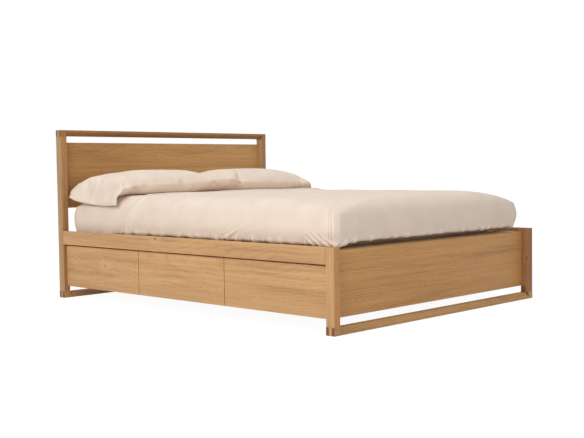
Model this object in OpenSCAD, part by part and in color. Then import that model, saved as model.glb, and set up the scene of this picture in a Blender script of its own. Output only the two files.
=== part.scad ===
// Platform bed with a slim framed headboard and six storage drawers in its base.
// Millimetres, +Z up. X runs across the bed, Y along it: foot at -Y, headboard at +Y.
// The origin is on the floor, under the middle of the bed.

/* [Overall] */
// Height of the headboard
head_h = 976; // [820:1:1200]
// Height of the foot posts and of the side rails' top edge
foot_h = 392; // [370:1:460]

/* [Posts and cross rails] */
// Post size across the bed
post_w = 40; // [34:1:60]
// Post size along the bed, which is also the depth of the cross rails
post_d = 50; // [44:1:70]
// Height of a cross rail where it joins a post
cross_h = 40; // [32:1:60]
// How much slimmer a cross rail is between the posts
cross_relief = 5; // [0:1:10]
// Height of the square lip left on a cross rail's front face
cross_lip = 13; // [8:1:24]
// How far back the cross rail's long bevel runs
cross_bevel = 22; // [10:1:30]
// Broken edge on posts, side rails and drawer fronts
arris = 1.5; // [0.5:0.5:3]
// How far the glides stand out below the wood
glide_proud = 2; // [1:0.5:5]
// Radius of a glide
glide_r = 12; // [8:1:16]
// How far a glide is let into the wood
glide_sink = 3; // [2:1:6]

/* [Panels] */
// Open slot between a cross rail's joint line and the panel
slot_h = 31; // [20:1:60]
// Thickness of the foot panel and of the base's head end board
end_panel_t = 18; // [15:1:22]
// How deep an end panel is housed in the posts
housing_d = 4; // [2:1:8]
// Thickness of the headboard panel
head_panel_t = 10; // [8:1:18]
// Height of the headboard panel
head_panel_h = 382; // [200:1:450]
// Width of the rebate that holds the headboard panel in each post
rebate_w = 14; // [12:1:20]

/* [Side rails and platform] */
// Thickness of a side rail
side_rail_t = 22; // [18:1:28]
// Height of a side rail
side_rail_h = 78; // [65:1:100]
// How far the platform lies below the side rails' top edge
platform_drop = 20; // [10:1:24]
// Thickness of a slat
slat_t = 18; // [14:1:22]
// Width of a slat
slat_w = 70; // [50:1:90]
// Number of slats
slat_count = 14; // [10:1:18]
// Gap between an end panel and the first slat
slat_edge = 24; // [10:1:40]
// Play between a slat's end and the side rail
slat_play = 4; // [1:1:8]
// Thickness of a slat ledger
ledger_t = 22; // [18:1:28]

/* [Base] */
// Thickness of the dividers and of the centre spine
divider_t = 18; // [15:1:22]
// Radius of a centre leg
leg_r = 25; // [18:1:32]
// Distance of the outer centre legs from the spine
leg_spread = 400; // [300:10:560]
// Radius of a centre leg's spigot
spigot_r = 4; // [3:0.5:5]
// Length of a centre leg's spigot
spigot_l = 22; // [15:1:30]

/* [Drawers] */
// How far a drawer front lies behind the post's outer face
front_recess = 19; // [16:1:26]
// Thickness of a drawer front
front_t = 18; // [15:1:19]
// Gap between two drawer fronts
front_gap = 3; // [2:0.5:5]
// Gap between a drawer front and a post
end_gap = 4; // [2:0.5:8]
// Shadow gap between a drawer front and the side rail above it
top_gap = 7; // [3:1:12]
// Depth of a drawer box, front to back
box_d = 640; // [560:5:700]
// Thickness of a drawer box board
box_t = 12; // [10:1:16]
// How far a drawer front hangs below its box, as a finger grip
grip_lip = 14; // [10:1:20]
// How far the box stays below the front's top edge
box_drop = 15; // [8:1:40]
// Thickness of a drawer bottom
bottom_t = 6; // [4:1:9]
// How far the drawer bottom lies above the box's lower edge
bottom_up = 8; // [6:1:16]
// Depth of the groove that holds the drawer bottom
groove_d = 6; // [4:1:7]

/* [Drawer runners] */
// How far a drawer pulls out on its runners
drawer_travel = 580; // [300:10:600]
// How much longer a runner is than its pull
runner_stop = 20; // [10:1:40]
// Height of a runner
runner_h = 45; // [40:1:55]
// Side space that a runner fills between the box and the wall
runner_t = 13; // [12.7:0.1:14]
// Thickness of the runners' steel
runner_steel = 1.5; // [1.2:0.1:1.8]
// Running gap between the nested runner members
runner_play = 0.3; // [0.2:0.05:0.4]
// How far the runner's middle lies above the box's lower edge
runner_up = 60; // [40:1:110]
// How far a runner starts behind the end of the divider
runner_inset = 2; // [0:1:10]

/* [Hardware] */
// Length of each leg of a corner bracket
bracket_leg = 60; // [45:1:80]
// Height of a corner bracket
bracket_h = 32; // [24:1:36]
// Thickness of a corner bracket
bracket_t = 3; // [2:0.5:4]
// Radius of the bolts that hold the end panels to the posts
bolt_r = 3; // [2.5:0.5:4]
// Radius of a bolt's head
bolt_head_r = 5; // [4.5:0.5:6]
// Height of a bolt's head
bolt_head_h = 4; // [3:0.5:5]
// How far a bolt reaches into its threaded insert
bolt_reach = 12; // [10:1:14]
// Length of a threaded insert
insert_l = 14; // [14:1:20]
// Wall of a threaded insert
insert_wall = 1.5; // [1:0.25:2]
// Radius of a wood screw
screw_r = 2; // [1.5:0.25:2.5]
// Radius of a wood screw's head
screw_head_r = 4; // [3.5:0.25:4.5]
// Height of a wood screw's head
screw_head_h = 2.5; // [2:0.25:3]
// How far a wood screw reaches into the piece that it holds
screw_reach = 12; // [8:1:14]
// Radius of the dowels between side rails and posts
dowel_r = 5; // [4:0.5:6]
// Length of those dowels
dowel_l = 50; // [40:2:60]

/* [Bedding] */
// Width of the mattress
mattress_w = 1524; // [1350:1:1900]
// Length of the mattress
mattress_l = 2024; // [1880:1:2180]
// Gap between the mattress and a side rail
mattress_side_play = 46; // [10:1:80]
// Gap between the mattress and the line of the posts, at each end
mattress_end_play = 10.5; // [5:0.5:30]
// Thickness of the mattress
mattress_h = 222; // [180:1:300]
// Radius of the mattress's rounded edges
mattress_edge = 34; // [20:1:60]
// Radius of the mattress's corners, seen from above
mattress_corner = 70; // [60:1:120]
// Width of a pillow, across the bed
pillow_w = 730; // [600:10:760]
// Length of a pillow, along the bed
pillow_l = 480; // [380:10:520]
// Thickness of a pillow at its middle
pillow_h = 145; // [90:5:180]
// Height of a pillow's side seam above the mattress
pillow_seam = 40; // [20:5:80]
// Gap between the two pillows
pillow_gap = 30; // [10:1:60]
// Distance from the pillows to the headboard panel
pillow_back = 56; // [10:2:90]

/* [Hidden] */
$fn = 32;

// A side is -1 for left (-X) and 1 for right; an end is -1 for the foot and 1 for the head.
LEFT = -1;
RIGHT = 1;
FOOT = -1;
HEAD = 1;
// The three drawer bays of a side, from the foot to the head
FOOT_BAY = 0;
MIDDLE_BAY = 1;
HEAD_BAY = 2;
BAYS = 3;
// Overcut that keeps a cut open through a face
over = 1;
// Gap left at the glued joints of a drawer box, and under what only rests on its neighbour
glue_gap = 0.1;
rest_gap = 0.3;
// Roundness of a pillow's profile and of its plan, and the facets of its solid
pillow_fullness = 0.7;
pillow_squareness = 0.5;
pillow_rings = 10;
pillow_sides = 28;

// Half sizes over the posts, which leave the mattress its play, and the posts' faces
half_w = mattress_w / 2 + mattress_side_play + side_rail_t;
half_l = mattress_l / 2 + mattress_end_play + post_d;
post_in = half_w - post_w;
post_face = half_l - post_d;
tongue_d = post_d / 3;

// Heights
panel_z = cross_h + slot_h;
platform_z = foot_h - platform_drop;
slat_z = platform_z - slat_t;
side_rail_z = foot_h - side_rail_h;
head_panel_top = head_h - panel_z;
head_panel_z = head_panel_top - head_panel_h;
front_top = side_rail_z - top_gap;
box_z = panel_z + grip_lip;
box_top = front_top - box_drop;
runner_z = box_z + runner_up;
bracket_z = (side_rail_z + slat_z) / 2;
halving_z = (panel_z + slat_z) / 2;

// Distances from the middle of the bed, across it
rail_in = half_w - side_rail_t;
ledger_in = rail_in - ledger_t;
front_out = half_w - front_recess;
front_back = front_out - front_t;
lap_x = (post_in + rail_in) / 2;
runner_x = ledger_in - runner_inset;

// Distances from the middle of the bed, along it
panel_out = post_face + housing_d;
panel_in = panel_out - end_panel_t;
front_w = (2 * (post_face - end_gap) - (BAYS - 1) * front_gap) / BAYS;
divider_y = (front_w + front_gap) / 2;

// Walls of each bay, and the edges of its drawer front
bay_low = [-panel_in, -divider_y + divider_t / 2, divider_y + divider_t / 2];
bay_high = [-divider_y - divider_t / 2, divider_y - divider_t / 2, panel_in];
function front_low(bay) = -post_face + end_gap + bay * (front_w + front_gap);

// Runner members, nested from the wall to the drawer box
runner_l = drawer_travel + runner_stop;
tip_play = 2 * runner_play;
rail_tip = runner_t - runner_steel - tip_play;
carriage_web = runner_steel + tip_play;
carriage_tip = rail_tip;
carriage_h = runner_h - 2 * (runner_steel + runner_play);
inner_tip = carriage_web + runner_steel + tip_play;
inner_h = carriage_h - 2 * (runner_steel + runner_play);

// Builds a piece of the right side, and mirrors it for the left side
module on_side(side) {
    mirror([side < 0 ? 1 : 0, 0, 0])
        children();
}

// Builds a piece of the head end, and mirrors it for the foot end
module at_end(end) {
    mirror([0, end < 0 ? 1 : 0, 0])
        children();
}

// Repeats a piece of the right head corner at all four corners
module four_corners() {
    for (side = [LEFT, RIGHT])
        for (end = [FOOT, HEAD])
            on_side(side) at_end(end) children();
}

// Plain block between two opposite corners
module block(low, high) {
    translate(low)
        cube(high - low);
}

// Rectangle with its four corners cut off by the arris
module eased_rect(low, high) {
    polygon([
        [low[0] + arris, low[1]], [high[0] - arris, low[1]],
        [high[0], low[1] + arris], [high[0], high[1] - arris],
        [high[0] - arris, high[1]], [low[0] + arris, high[1]],
        [low[0], high[1] - arris], [low[0], low[1] + arris]
    ]);
}

// Extrudes a (Y, Z) outline along X from x_low to x_high
module along_x(x_low, x_high) {
    translate([x_low, 0, 0])
        rotate([90, 0, 90])
            linear_extrude(x_high - x_low)
                children();
}

// Extrudes an (X, Z) outline along Y from y_low to y_high
module along_y(y_low, y_high) {
    translate([0, y_high, 0])
        rotate([90, 0, 0])
            linear_extrude(y_high - y_low)
                children();
}

// Cylinder along +X, and along +Y
module rod_x(length, r) {
    rotate([0, 90, 0])
        cylinder(h = length, r = r);
}

module rod_y(length, r) {
    rotate([-90, 0, 0])
        cylinder(h = length, r = r);
}

// Places of the fasteners

// Dowels between a side rail and a post
module dowel_spots() {
    for (z = [side_rail_z + side_rail_h / 4, side_rail_z + side_rail_h * 3 / 4])
        translate([half_w - side_rail_t / 2, post_face - dowel_l / 2, z]) children();
}

// Bolt that goes through a bracket and an end panel into the post
module bolt_spot() {
    translate([lap_x, panel_in - bracket_t, bracket_z]) children();
}

// Screw of a bracket into the end panel, along Y
module panel_screw_spot() {
    translate([rail_in - bracket_leg * 3 / 4, panel_in - bracket_t, bracket_z]) children();
}

// Screws of a bracket into the side rail, along X
module rail_screw_spots() {
    for (y = [bracket_leg * 2 / 5, bracket_leg * 4 / 5])
        translate([rail_in - bracket_t, panel_in - y, bracket_z]) children();
}

// Screws of the headboard panel into a post, from the back
module head_screw_spots() {
    for (share = [1 / 10, 1 / 2, 9 / 10])
        translate([post_in + rebate_w / 2, half_l, head_panel_z + share * head_panel_h])
            mirror([0, 1, 0]) children();
}

// Centre legs, under the dividers
module leg_spots() {
    for (y = [-divider_y, divider_y])
        for (x = [-leg_spread, 0, leg_spread])
            translate([x, y, 0]) children();
}

// Glides let into the undersides of the two bottom cross rails
module rail_glide_spots() {
    for (y = [-half_l + post_d / 2, half_l - post_d / 2])
        for (x = [-post_in + 2 * glide_r, -post_in / 3, post_in / 3, post_in - 2 * glide_r])
            translate([x, y, 0]) children();
}

// Screws of a drawer front, along X
module front_screw_spots(bay) {
    for (y = [bay_low[bay] + runner_t + front_w / 8, bay_high[bay] - runner_t - front_w / 8])
        for (z = [box_z + (box_top - box_z) / 4, box_top - (box_top - box_z) / 4])
            translate([front_back - box_t - screw_head_h, y, z]) children();
}

// Headboard and foot frame

// Post of the right head corner up to the joint line below its top, with the tongue of its lower joint
module post_stock(top) {
    translate([0, 0, cross_h])
        linear_extrude(top - cross_h)
            eased_rect([post_in, post_face], [half_w, half_l]);
    post_tongue(glide_proud, cross_h + over);
}

// Tongue in the middle third of a post, which fills the slot in a cross rail's end
module post_tongue(low, high) {
    block([post_in, half_l - (post_d + tongue_d) / 2, low],
          [half_w, half_l - (post_d - tongue_d) / 2, high]);
}

// Cuts in a post for the side rail's dowels, the end panel's housing and its insert
module post_cuts() {
    dowel_spots()
        rod_y(dowel_l, dowel_r);
    block([post_in - over, post_face - over, side_rail_z], [rail_in, panel_out, platform_z]);
    translate([lap_x, panel_out - over, bracket_z])
        rod_y(insert_l + over, bolt_r + insert_wall);
}

// Head post of the right side, with a tongue at each end and a rebate for the headboard panel
module head_post() {
    color("burlywood")
        difference() {
            union() {
                post_stock(head_h - cross_h);
                post_tongue(head_h - cross_h - over, head_h);
            }
            post_cuts();
            block([post_in - over, half_l - head_panel_t, head_panel_z],
                  [post_in + rebate_w, half_l + over, head_panel_top]);
            head_screw_spots()
                rod_y(head_panel_t + screw_reach, screw_r);
        }
}

// Foot post, drawn at the right head corner
module foot_post() {
    color("burlywood")
        difference() {
            post_stock(foot_h);
            post_cuts();
        }
}

// Cross rail with its front face at y = 0 and its outer edge at z = low. Between the posts its
// inner edge is relieved and bevelled; over the posts it is full, with a slot for their tongues.
module cross_rail(low) {
    color("peru")
        difference() {
            union() {
                along_x(-half_w, half_w)
                    polygon([
                        [0, low], [0, cross_lip], [cross_bevel, cross_h - cross_relief],
                        [post_d, cross_h - cross_relief], [post_d, low]
                    ]);
                for (side = [LEFT, RIGHT])
                    on_side(side)
                        block([post_in, 0, low], [half_w, post_d, cross_h]);
            }
            for (side = [LEFT, RIGHT])
                on_side(side)
                    block([post_in, (post_d - tongue_d) / 2, low - over],
                          [half_w + over, (post_d + tongue_d) / 2, cross_h + over]);
        }
}

// Top rail of the headboard: the same rail, upside down
module top_rail() {
    translate([0, post_face, head_h])
        mirror([0, 0, 1])
            cross_rail(0);
}

// Bottom rail with its front face at y = front and recesses for its glides
module bottom_rail(front) {
    difference() {
        translate([0, front, 0])
            cross_rail(glide_proud);
        rail_glide_spots()
            cylinder(h = glide_proud + glide_sink, r = glide_r);
    }
}

// Headboard panel, lying in the rebates of both head posts
module head_panel() {
    color("tan")
        difference() {
            block([-post_in - rebate_w, half_l - head_panel_t, head_panel_z],
                  [post_in + rebate_w, half_l, head_panel_top]);
            for (side = [LEFT, RIGHT])
                on_side(side) head_screw_spots() {
                    translate([0, -over, 0])
                        rod_y(head_panel_t + 2 * over, screw_r);
                    countersink();
                }
        }
}

// Cone of a countersunk head, with its wide end at y = 0
module countersink() {
    rotate([-90, 0, 0])
        cylinder(h = screw_head_h, r1 = screw_head_r, r2 = screw_r);
}

// End panel of the head end: low between the posts, and lapped behind them above the drawers
module end_panel() {
    difference() {
        union() {
            block([-post_in, panel_in, panel_z], [post_in, panel_out, platform_z]);
            block([-rail_in, panel_in, side_rail_z], [rail_in, panel_out, platform_z]);
        }
        for (side = [LEFT, RIGHT])
            on_side(side) {
                bolt_spot()
                    rod_y(bracket_t + end_panel_t + over, bolt_r);
                panel_screw_spot()
                    rod_y(bracket_t + screw_reach, screw_r);
            }
    }
}

// Storage base and platform

// Right side rail, between the foot post and the head post
module side_rail() {
    color("burlywood")
        difference() {
            along_y(-post_face, post_face)
                eased_rect([rail_in, side_rail_z], [half_w, foot_h]);
            for (end = [FOOT, HEAD])
                at_end(end) {
                    dowel_spots()
                        rod_y(dowel_l, dowel_r);
                    rail_screw_spots()
                        rod_x(bracket_t + screw_reach, screw_r);
                }
        }
}

// Divider between two bays, halved over the centre spine from above
module divider(y) {
    color("wheat")
        difference() {
            block([-ledger_in, y - divider_t / 2, panel_z], [ledger_in, y + divider_t / 2, slat_z]);
            block([-divider_t / 2, y - divider_t, halving_z], [divider_t / 2, y + divider_t, slat_z + over]);
            leg_spots()
                translate([0, 0, panel_z - over]) cylinder(h = spigot_l + over, r = spigot_r);
        }
}

// Spine along the middle of the bed, halved under the dividers
module centre_spine() {
    color("wheat")
        difference() {
            block([-divider_t / 2, -panel_in, panel_z], [divider_t / 2, panel_in, slat_z]);
            for (y = [-divider_y, divider_y])
                block([-divider_t, y - divider_t / 2, panel_z - over],
                      [divider_t, y + divider_t / 2, halving_z]);
        }
}

// Ledgers inside the side rails, which carry the slats' ends between the corner brackets
module slat_ledgers() {
    ledger_end = panel_in - bracket_leg - bracket_t;
    color("wheat")
        for (side = [LEFT, RIGHT])
            on_side(side)
                block([ledger_in, -ledger_end, side_rail_z], [rail_in, ledger_end, slat_z]);
}

// Slats across the bed, flush with the end panels' top edges
module slats() {
    first = -panel_in + slat_edge;
    pitch = (2 * (panel_in - slat_edge) - slat_w) / (slat_count - 1);
    slat_end = rail_in - slat_play;
    color("blanchedalmond")
        for (i = [0 : slat_count - 1])
            block([-slat_end, first + i * pitch, slat_z],
                  [slat_end, first + i * pitch + slat_w, platform_z]);
}

// Turned legs under the dividers, each with a spigot let into the wood above it
module centre_legs() {
    color("burlywood")
        leg_spots() {
            translate([0, 0, glide_proud])
                cylinder(h = panel_z - glide_proud, r = leg_r);
            translate([0, 0, panel_z - over])
                cylinder(h = spigot_l + over, r = spigot_r);
        }
}

// Nylon glides under the cross rails and under the centre legs
module glides() {
    color("dimgray") {
        rail_glide_spots()
            cylinder(h = glide_proud + glide_sink, r = glide_r);
        leg_spots()
            cylinder(h = glide_proud, r = glide_r);
    }
}

// Beech dowels between the side rails and the posts
module rail_dowels() {
    color("wheat")
        four_corners() dowel_spots()
            rod_y(dowel_l, dowel_r);
}

// Steel angles in the four corners, between the side rails and the end panels
module corner_brackets() {
    low = bracket_z - bracket_h / 2;
    high = bracket_z + bracket_h / 2;
    color("silver")
        four_corners()
            difference() {
                union() {
                    block([rail_in - bracket_t, panel_in - bracket_leg, low], [rail_in, panel_in, high]);
                    block([rail_in - bracket_leg, panel_in - bracket_t, low], [rail_in, panel_in, high]);
                }
                bolt_spot() translate([0, -over, 0])
                    rod_y(bracket_t + 2 * over, bolt_r);
                panel_screw_spot() translate([0, -over, 0])
                    rod_y(bracket_t + 2 * over, screw_r);
                rail_screw_spots() translate([-over, 0, 0])
                    rod_x(bracket_t + 2 * over, screw_r);
            }
}

// Bolts through the brackets and end panels into the posts' inserts
module bracket_bolts() {
    color("dimgray")
        four_corners() bolt_spot() {
            translate([0, -bolt_head_h, 0])
                rod_y(bolt_head_h, bolt_head_r);
            rod_y(bracket_t + end_panel_t + bolt_reach, bolt_r);
        }
}

// Threaded brass inserts in the posts
module post_inserts() {
    color("goldenrod")
        four_corners()
            translate([lap_x, panel_out, bracket_z])
                difference() {
                    rod_y(insert_l, bolt_r + insert_wall);
                    translate([0, -over, 0])
                        rod_y(insert_l + 2 * over, bolt_r);
                }
}

// Wood screws of the brackets and of the headboard panel
module panel_screws() {
    color("silver") {
        four_corners() {
            panel_screw_spot() {
                translate([0, -screw_head_h, 0])
                    rod_y(screw_head_h, screw_head_r);
                rod_y(bracket_t + screw_reach, screw_r);
            }
            rail_screw_spots() {
                translate([-screw_head_h, 0, 0])
                    rod_x(screw_head_h, screw_head_r);
                rod_x(bracket_t + screw_reach, screw_r);
            }
        }
        for (side = [LEFT, RIGHT])
            on_side(side) head_screw_spots() {
                countersink();
                rod_y(head_panel_t + screw_reach, screw_r);
            }
    }
}

// Drawer runners

// Channel section, Y from the bay's wall and Z from its middle; its flanges run from web to tip
module channel(web, tip, h) {
    inner_web = web + sign(tip - web) * runner_steel;
    inner_h = h / 2 - runner_steel;
    polygon([
        [web, -h / 2], [tip, -h / 2], [tip, -inner_h], [inner_web, -inner_h],
        [inner_web, inner_h], [tip, inner_h], [tip, h / 2], [web, h / 2]
    ]);
}

// One runner member on each wall of a bay, on the right side
module runner_pair(bay) {
    along_x(runner_x - runner_l, runner_x) {
        translate([bay_low[bay], runner_z])
            children();
        translate([bay_high[bay], runner_z])
            mirror([1, 0])
                children();
    }
}

// Outer members, fixed to the end panels and dividers
module runner_rails() {
    color("silver")
        for (side = [LEFT, RIGHT])
            for (bay = [FOOT_BAY : HEAD_BAY])
                on_side(side) runner_pair(bay)
                    channel(0, rail_tip, runner_h);
}

// Middle members, which run half as far as their drawer
module carriage(side, bay) {
    color("gainsboro")
        on_side(side) runner_pair(bay)
            channel(carriage_web, carriage_tip, carriage_h);
}

// Inner members on the drawer box, and the screws that hold the drawer front
module drawer_hardware(side, bay) {
    color("silver")
        on_side(side) {
            runner_pair(bay)
                channel(runner_t, inner_tip, inner_h);
            front_screw_spots(bay) {
                rod_x(screw_head_h, screw_head_r);
                rod_x(screw_head_h + box_t + screw_reach, screw_r);
            }
        }
}

// Drawers

// Solid drawer front with its long edges eased
module drawer_front(side, bay) {
    color("burlywood")
        on_side(side)
            difference() {
                along_y(front_low(bay), front_low(bay) + front_w)
                    eased_rect([front_back, panel_z], [front_out, front_top]);
                front_screw_spots(bay)
                    rod_x(screw_head_h + box_t + screw_reach, screw_r);
            }
}

// Drawer box of four boards, with a groove all round for the bottom
module drawer_box(side, bay) {
    y_low = bay_low[bay] + runner_t;
    y_high = bay_high[bay] - runner_t;
    x_low = front_back - box_d;
    color("wheat")
        on_side(side)
            difference() {
                union() {
                    for (x = [x_low, front_back - box_t])
                        block([x, y_low + box_t + glue_gap, box_z],
                              [x + box_t, y_high - box_t - glue_gap, box_top]);
                    for (y = [y_low, y_high - box_t])
                        block([x_low, y, box_z], [front_back, y + box_t, box_top]);
                }
                drawer_bottom_block(bay);
                front_screw_spots(bay)
                    rod_x(screw_head_h + box_t + screw_reach, screw_r);
            }
}

// Space of the drawer bottom, with its edges in the grooves
module drawer_bottom_block(bay) {
    inset = box_t - groove_d;
    block([front_back - box_d + inset, bay_low[bay] + runner_t + inset, box_z + bottom_up],
          [front_back - inset, bay_high[bay] - runner_t - inset, box_z + bottom_up + bottom_t]);
}

module drawer_bottom(side, bay) {
    color("blanchedalmond")
        on_side(side)
            drawer_bottom_block(bay);
}

// Bedding

// Mattress with rounded corners and edges, resting on the slats
module mattress() {
    color("linen")
        translate([0, 0, platform_z])
            hull()
                for (x = [-1, 1])
                    for (y = [-1, 1])
                        translate([x * (mattress_w / 2 - mattress_corner),
                                   y * (mattress_l / 2 - mattress_corner), 0])
                            rounded_corner();
}

// Upright disc with rounded rims, as a stack of cylinders
module rounded_corner() {
    for (turn = [0 : 15 : 90]) {
        rise = mattress_edge * (1 - sin(turn));
        translate([0, 0, rise])
            cylinder(h = mattress_h - 2 * rise, r = mattress_corner - mattress_edge * (1 - cos(turn)));
    }
}

// Signed power, which squares a circle off as the exponent falls below 1
function soft_power(v, exponent) = sign(v) * pow(abs(v), exponent);

// Point of a pillow at a latitude and a longitude, with its seam at height pillow_seam
function pillow_point(lat, lon) = [
    pillow_w / 2 * pow(cos(lat), pillow_fullness) * soft_power(cos(lon), pillow_squareness),
    pillow_l / 2 * pow(cos(lat), pillow_fullness) * soft_power(sin(lon), pillow_squareness),
    pillow_seam + (lat < 0 ? pillow_seam : pillow_h - pillow_seam) * sin(lat)
];

// Pillow lying flat on the mattress close to the headboard, squarish in plan and full in the middle
module pillow(side) {
    rings = [for (i = [1 : pillow_rings - 1]) -90 + i * 180 / pillow_rings];
    sides = pillow_sides;
    points = concat(
        [[0, 0, 0]],
        [for (lat = rings) for (j = [0 : sides - 1]) pillow_point(lat, j * 360 / sides)],
        [[0, 0, pillow_h]]
    );
    top = len(points) - 1;
    last = top - sides;
    faces = concat(
        [for (j = [0 : sides - 1]) [0, 1 + j, 1 + (j + 1) % sides]],
        [for (i = [0 : len(rings) - 2]) for (j = [0 : sides - 1])
            each let (a = 1 + i * sides + j, b = 1 + i * sides + (j + 1) % sides)
                [[a, a + sides, b], [b, a + sides, b + sides]]],
        [for (j = [0 : sides - 1]) [last + j, top, last + (j + 1) % sides]]
    );
    color("seashell")
        on_side(side)
            translate([(pillow_gap + pillow_w) / 2,
                       half_l - head_panel_t - pillow_back - pillow_l / 2,
                       platform_z + mattress_h + rest_gap])
                polyhedron(points, faces);
}

on_side(LEFT) head_post();  // head_post_left
head_post();  // head_post_right
top_rail();  // head_top_rail
bottom_rail(post_face);  // head_bottom_rail
head_panel();
on_side(LEFT) at_end(FOOT) foot_post();  // foot_post_left
at_end(FOOT) foot_post();  // foot_post_right
bottom_rail(-half_l);  // foot_bottom_rail
color("tan") at_end(FOOT) end_panel();  // foot_panel
on_side(LEFT) side_rail();  // side_rail_left
side_rail();  // side_rail_right
color("wheat") end_panel();  // head_end_board
divider(divider_y);  // divider_head
divider(-divider_y);  // divider_foot
centre_spine();
slat_ledgers();
slats();
centre_legs();
glides();
rail_dowels();
corner_brackets();
bracket_bolts();
post_inserts();
panel_screws();
runner_rails();
drawer_front(LEFT, FOOT_BAY);  // left_foot_drawer_front
drawer_box(LEFT, FOOT_BAY);  // left_foot_drawer_box
drawer_bottom(LEFT, FOOT_BAY);  // left_foot_drawer_bottom
drawer_hardware(LEFT, FOOT_BAY);  // left_foot_drawer_hardware
carriage(LEFT, FOOT_BAY);  // left_foot_carriage
drawer_front(LEFT, MIDDLE_BAY);  // left_middle_drawer_front
drawer_box(LEFT, MIDDLE_BAY);  // left_middle_drawer_box
drawer_bottom(LEFT, MIDDLE_BAY);  // left_middle_drawer_bottom
drawer_hardware(LEFT, MIDDLE_BAY);  // left_middle_drawer_hardware
carriage(LEFT, MIDDLE_BAY);  // left_middle_carriage
drawer_front(LEFT, HEAD_BAY);  // left_head_drawer_front
drawer_box(LEFT, HEAD_BAY);  // left_head_drawer_box
drawer_bottom(LEFT, HEAD_BAY);  // left_head_drawer_bottom
drawer_hardware(LEFT, HEAD_BAY);  // left_head_drawer_hardware
carriage(LEFT, HEAD_BAY);  // left_head_carriage
drawer_front(RIGHT, FOOT_BAY);  // right_foot_drawer_front
drawer_box(RIGHT, FOOT_BAY);  // right_foot_drawer_box
drawer_bottom(RIGHT, FOOT_BAY);  // right_foot_drawer_bottom
drawer_hardware(RIGHT, FOOT_BAY);  // right_foot_drawer_hardware
carriage(RIGHT, FOOT_BAY);  // right_foot_carriage
drawer_front(RIGHT, MIDDLE_BAY);  // right_middle_drawer_front
drawer_box(RIGHT, MIDDLE_BAY);  // right_middle_drawer_box
drawer_bottom(RIGHT, MIDDLE_BAY);  // right_middle_drawer_bottom
drawer_hardware(RIGHT, MIDDLE_BAY);  // right_middle_drawer_hardware
carriage(RIGHT, MIDDLE_BAY);  // right_middle_carriage
drawer_front(RIGHT, HEAD_BAY);  // right_head_drawer_front
drawer_box(RIGHT, HEAD_BAY);  // right_head_drawer_box
drawer_bottom(RIGHT, HEAD_BAY);  // right_head_drawer_bottom
drawer_hardware(RIGHT, HEAD_BAY);  // right_head_drawer_hardware
carriage(RIGHT, HEAD_BAY);  // right_head_carriage
mattress();
pillow(LEFT);  // pillow_left
pillow(RIGHT);  // pillow_right
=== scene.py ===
"""Platform bed with six storage drawers: finishes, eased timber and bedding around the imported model.

Metres, +Z up. X runs across the bed and Y along it, with the foot at -Y and the headboard at +Y.
"""

import math

import bmesh
import bpy
import numpy as np
from mathutils import Matrix, Vector


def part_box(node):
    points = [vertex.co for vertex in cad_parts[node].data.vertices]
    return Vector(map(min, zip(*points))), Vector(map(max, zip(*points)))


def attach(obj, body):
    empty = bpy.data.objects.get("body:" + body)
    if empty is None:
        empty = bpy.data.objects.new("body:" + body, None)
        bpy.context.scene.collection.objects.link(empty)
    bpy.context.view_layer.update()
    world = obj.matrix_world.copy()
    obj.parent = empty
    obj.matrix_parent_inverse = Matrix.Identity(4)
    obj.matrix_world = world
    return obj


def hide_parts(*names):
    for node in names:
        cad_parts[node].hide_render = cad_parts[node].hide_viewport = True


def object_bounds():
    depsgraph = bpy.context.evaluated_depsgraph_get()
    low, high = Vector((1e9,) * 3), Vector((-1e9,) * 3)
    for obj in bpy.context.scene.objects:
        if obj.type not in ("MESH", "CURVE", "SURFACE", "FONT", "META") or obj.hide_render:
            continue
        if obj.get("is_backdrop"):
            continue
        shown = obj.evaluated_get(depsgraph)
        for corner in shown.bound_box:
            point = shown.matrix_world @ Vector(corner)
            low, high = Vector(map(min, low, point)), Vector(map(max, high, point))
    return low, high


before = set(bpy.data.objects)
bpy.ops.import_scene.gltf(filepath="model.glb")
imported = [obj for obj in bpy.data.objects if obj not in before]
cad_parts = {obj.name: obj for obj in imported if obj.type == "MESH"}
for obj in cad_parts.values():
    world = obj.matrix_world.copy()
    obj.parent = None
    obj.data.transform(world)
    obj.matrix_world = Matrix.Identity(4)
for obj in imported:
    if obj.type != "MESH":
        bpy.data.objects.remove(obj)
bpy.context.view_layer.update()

MM = 0.001
SIDES = ("left", "right")
BAYS = ("foot", "middle", "head")
DRAWERS = [f"{side}_{bay}" for side in SIDES for bay in BAYS]


# Materials

def linear(code):
    """The linear colour of an sRGB hex value."""
    parts = [int(code[i:i + 2], 16) / 255 for i in (0, 2, 4)]
    return (*[p / 12.92 if p <= 0.04045 else ((p + 0.055) / 1.055) ** 2.4 for p in parts], 1.0)


def add(tree, kind, links=None, stops=None, **settings):
    """Adds a node. Links maps a socket to its value, or to the node or socket that feeds it."""
    node = tree.nodes.new(kind)
    for key, value in settings.items():
        setattr(node, key, value)
    for key, value in (links or {}).items():
        if isinstance(value, bpy.types.Node):
            value = next(s for s in value.outputs if s.enabled)
        if isinstance(value, bpy.types.NodeSocket):
            tree.links.new(value, node.inputs[key])
        else:
            node.inputs[key].default_value = value
    if stops:
        ramp = node.color_ramp
        ramp.elements[0].position, ramp.elements[1].position = stops[0][0], stops[-1][0]
        for position, _ in stops[1:-1]:
            ramp.elements.new(position)
        for element, (_, code) in zip(ramp.elements, stops):
            element.color = linear(code)
    return node


def new_material(name, **surface):
    """A material with one Principled shader, whose even values are set on its own sockets."""
    material = bpy.data.materials.new(name)
    material.use_nodes = True
    shader = material.node_tree.nodes["Principled BSDF"]
    for key, value in surface.items():
        shader.inputs[key.replace("_", " ")].default_value = value
    return material, material.node_tree, shader


def placed(name, data):
    """A new object of the scene, at the origin."""
    obj = bpy.data.objects.new(name, data)
    bpy.context.scene.collection.objects.link(obj)
    return obj


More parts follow.
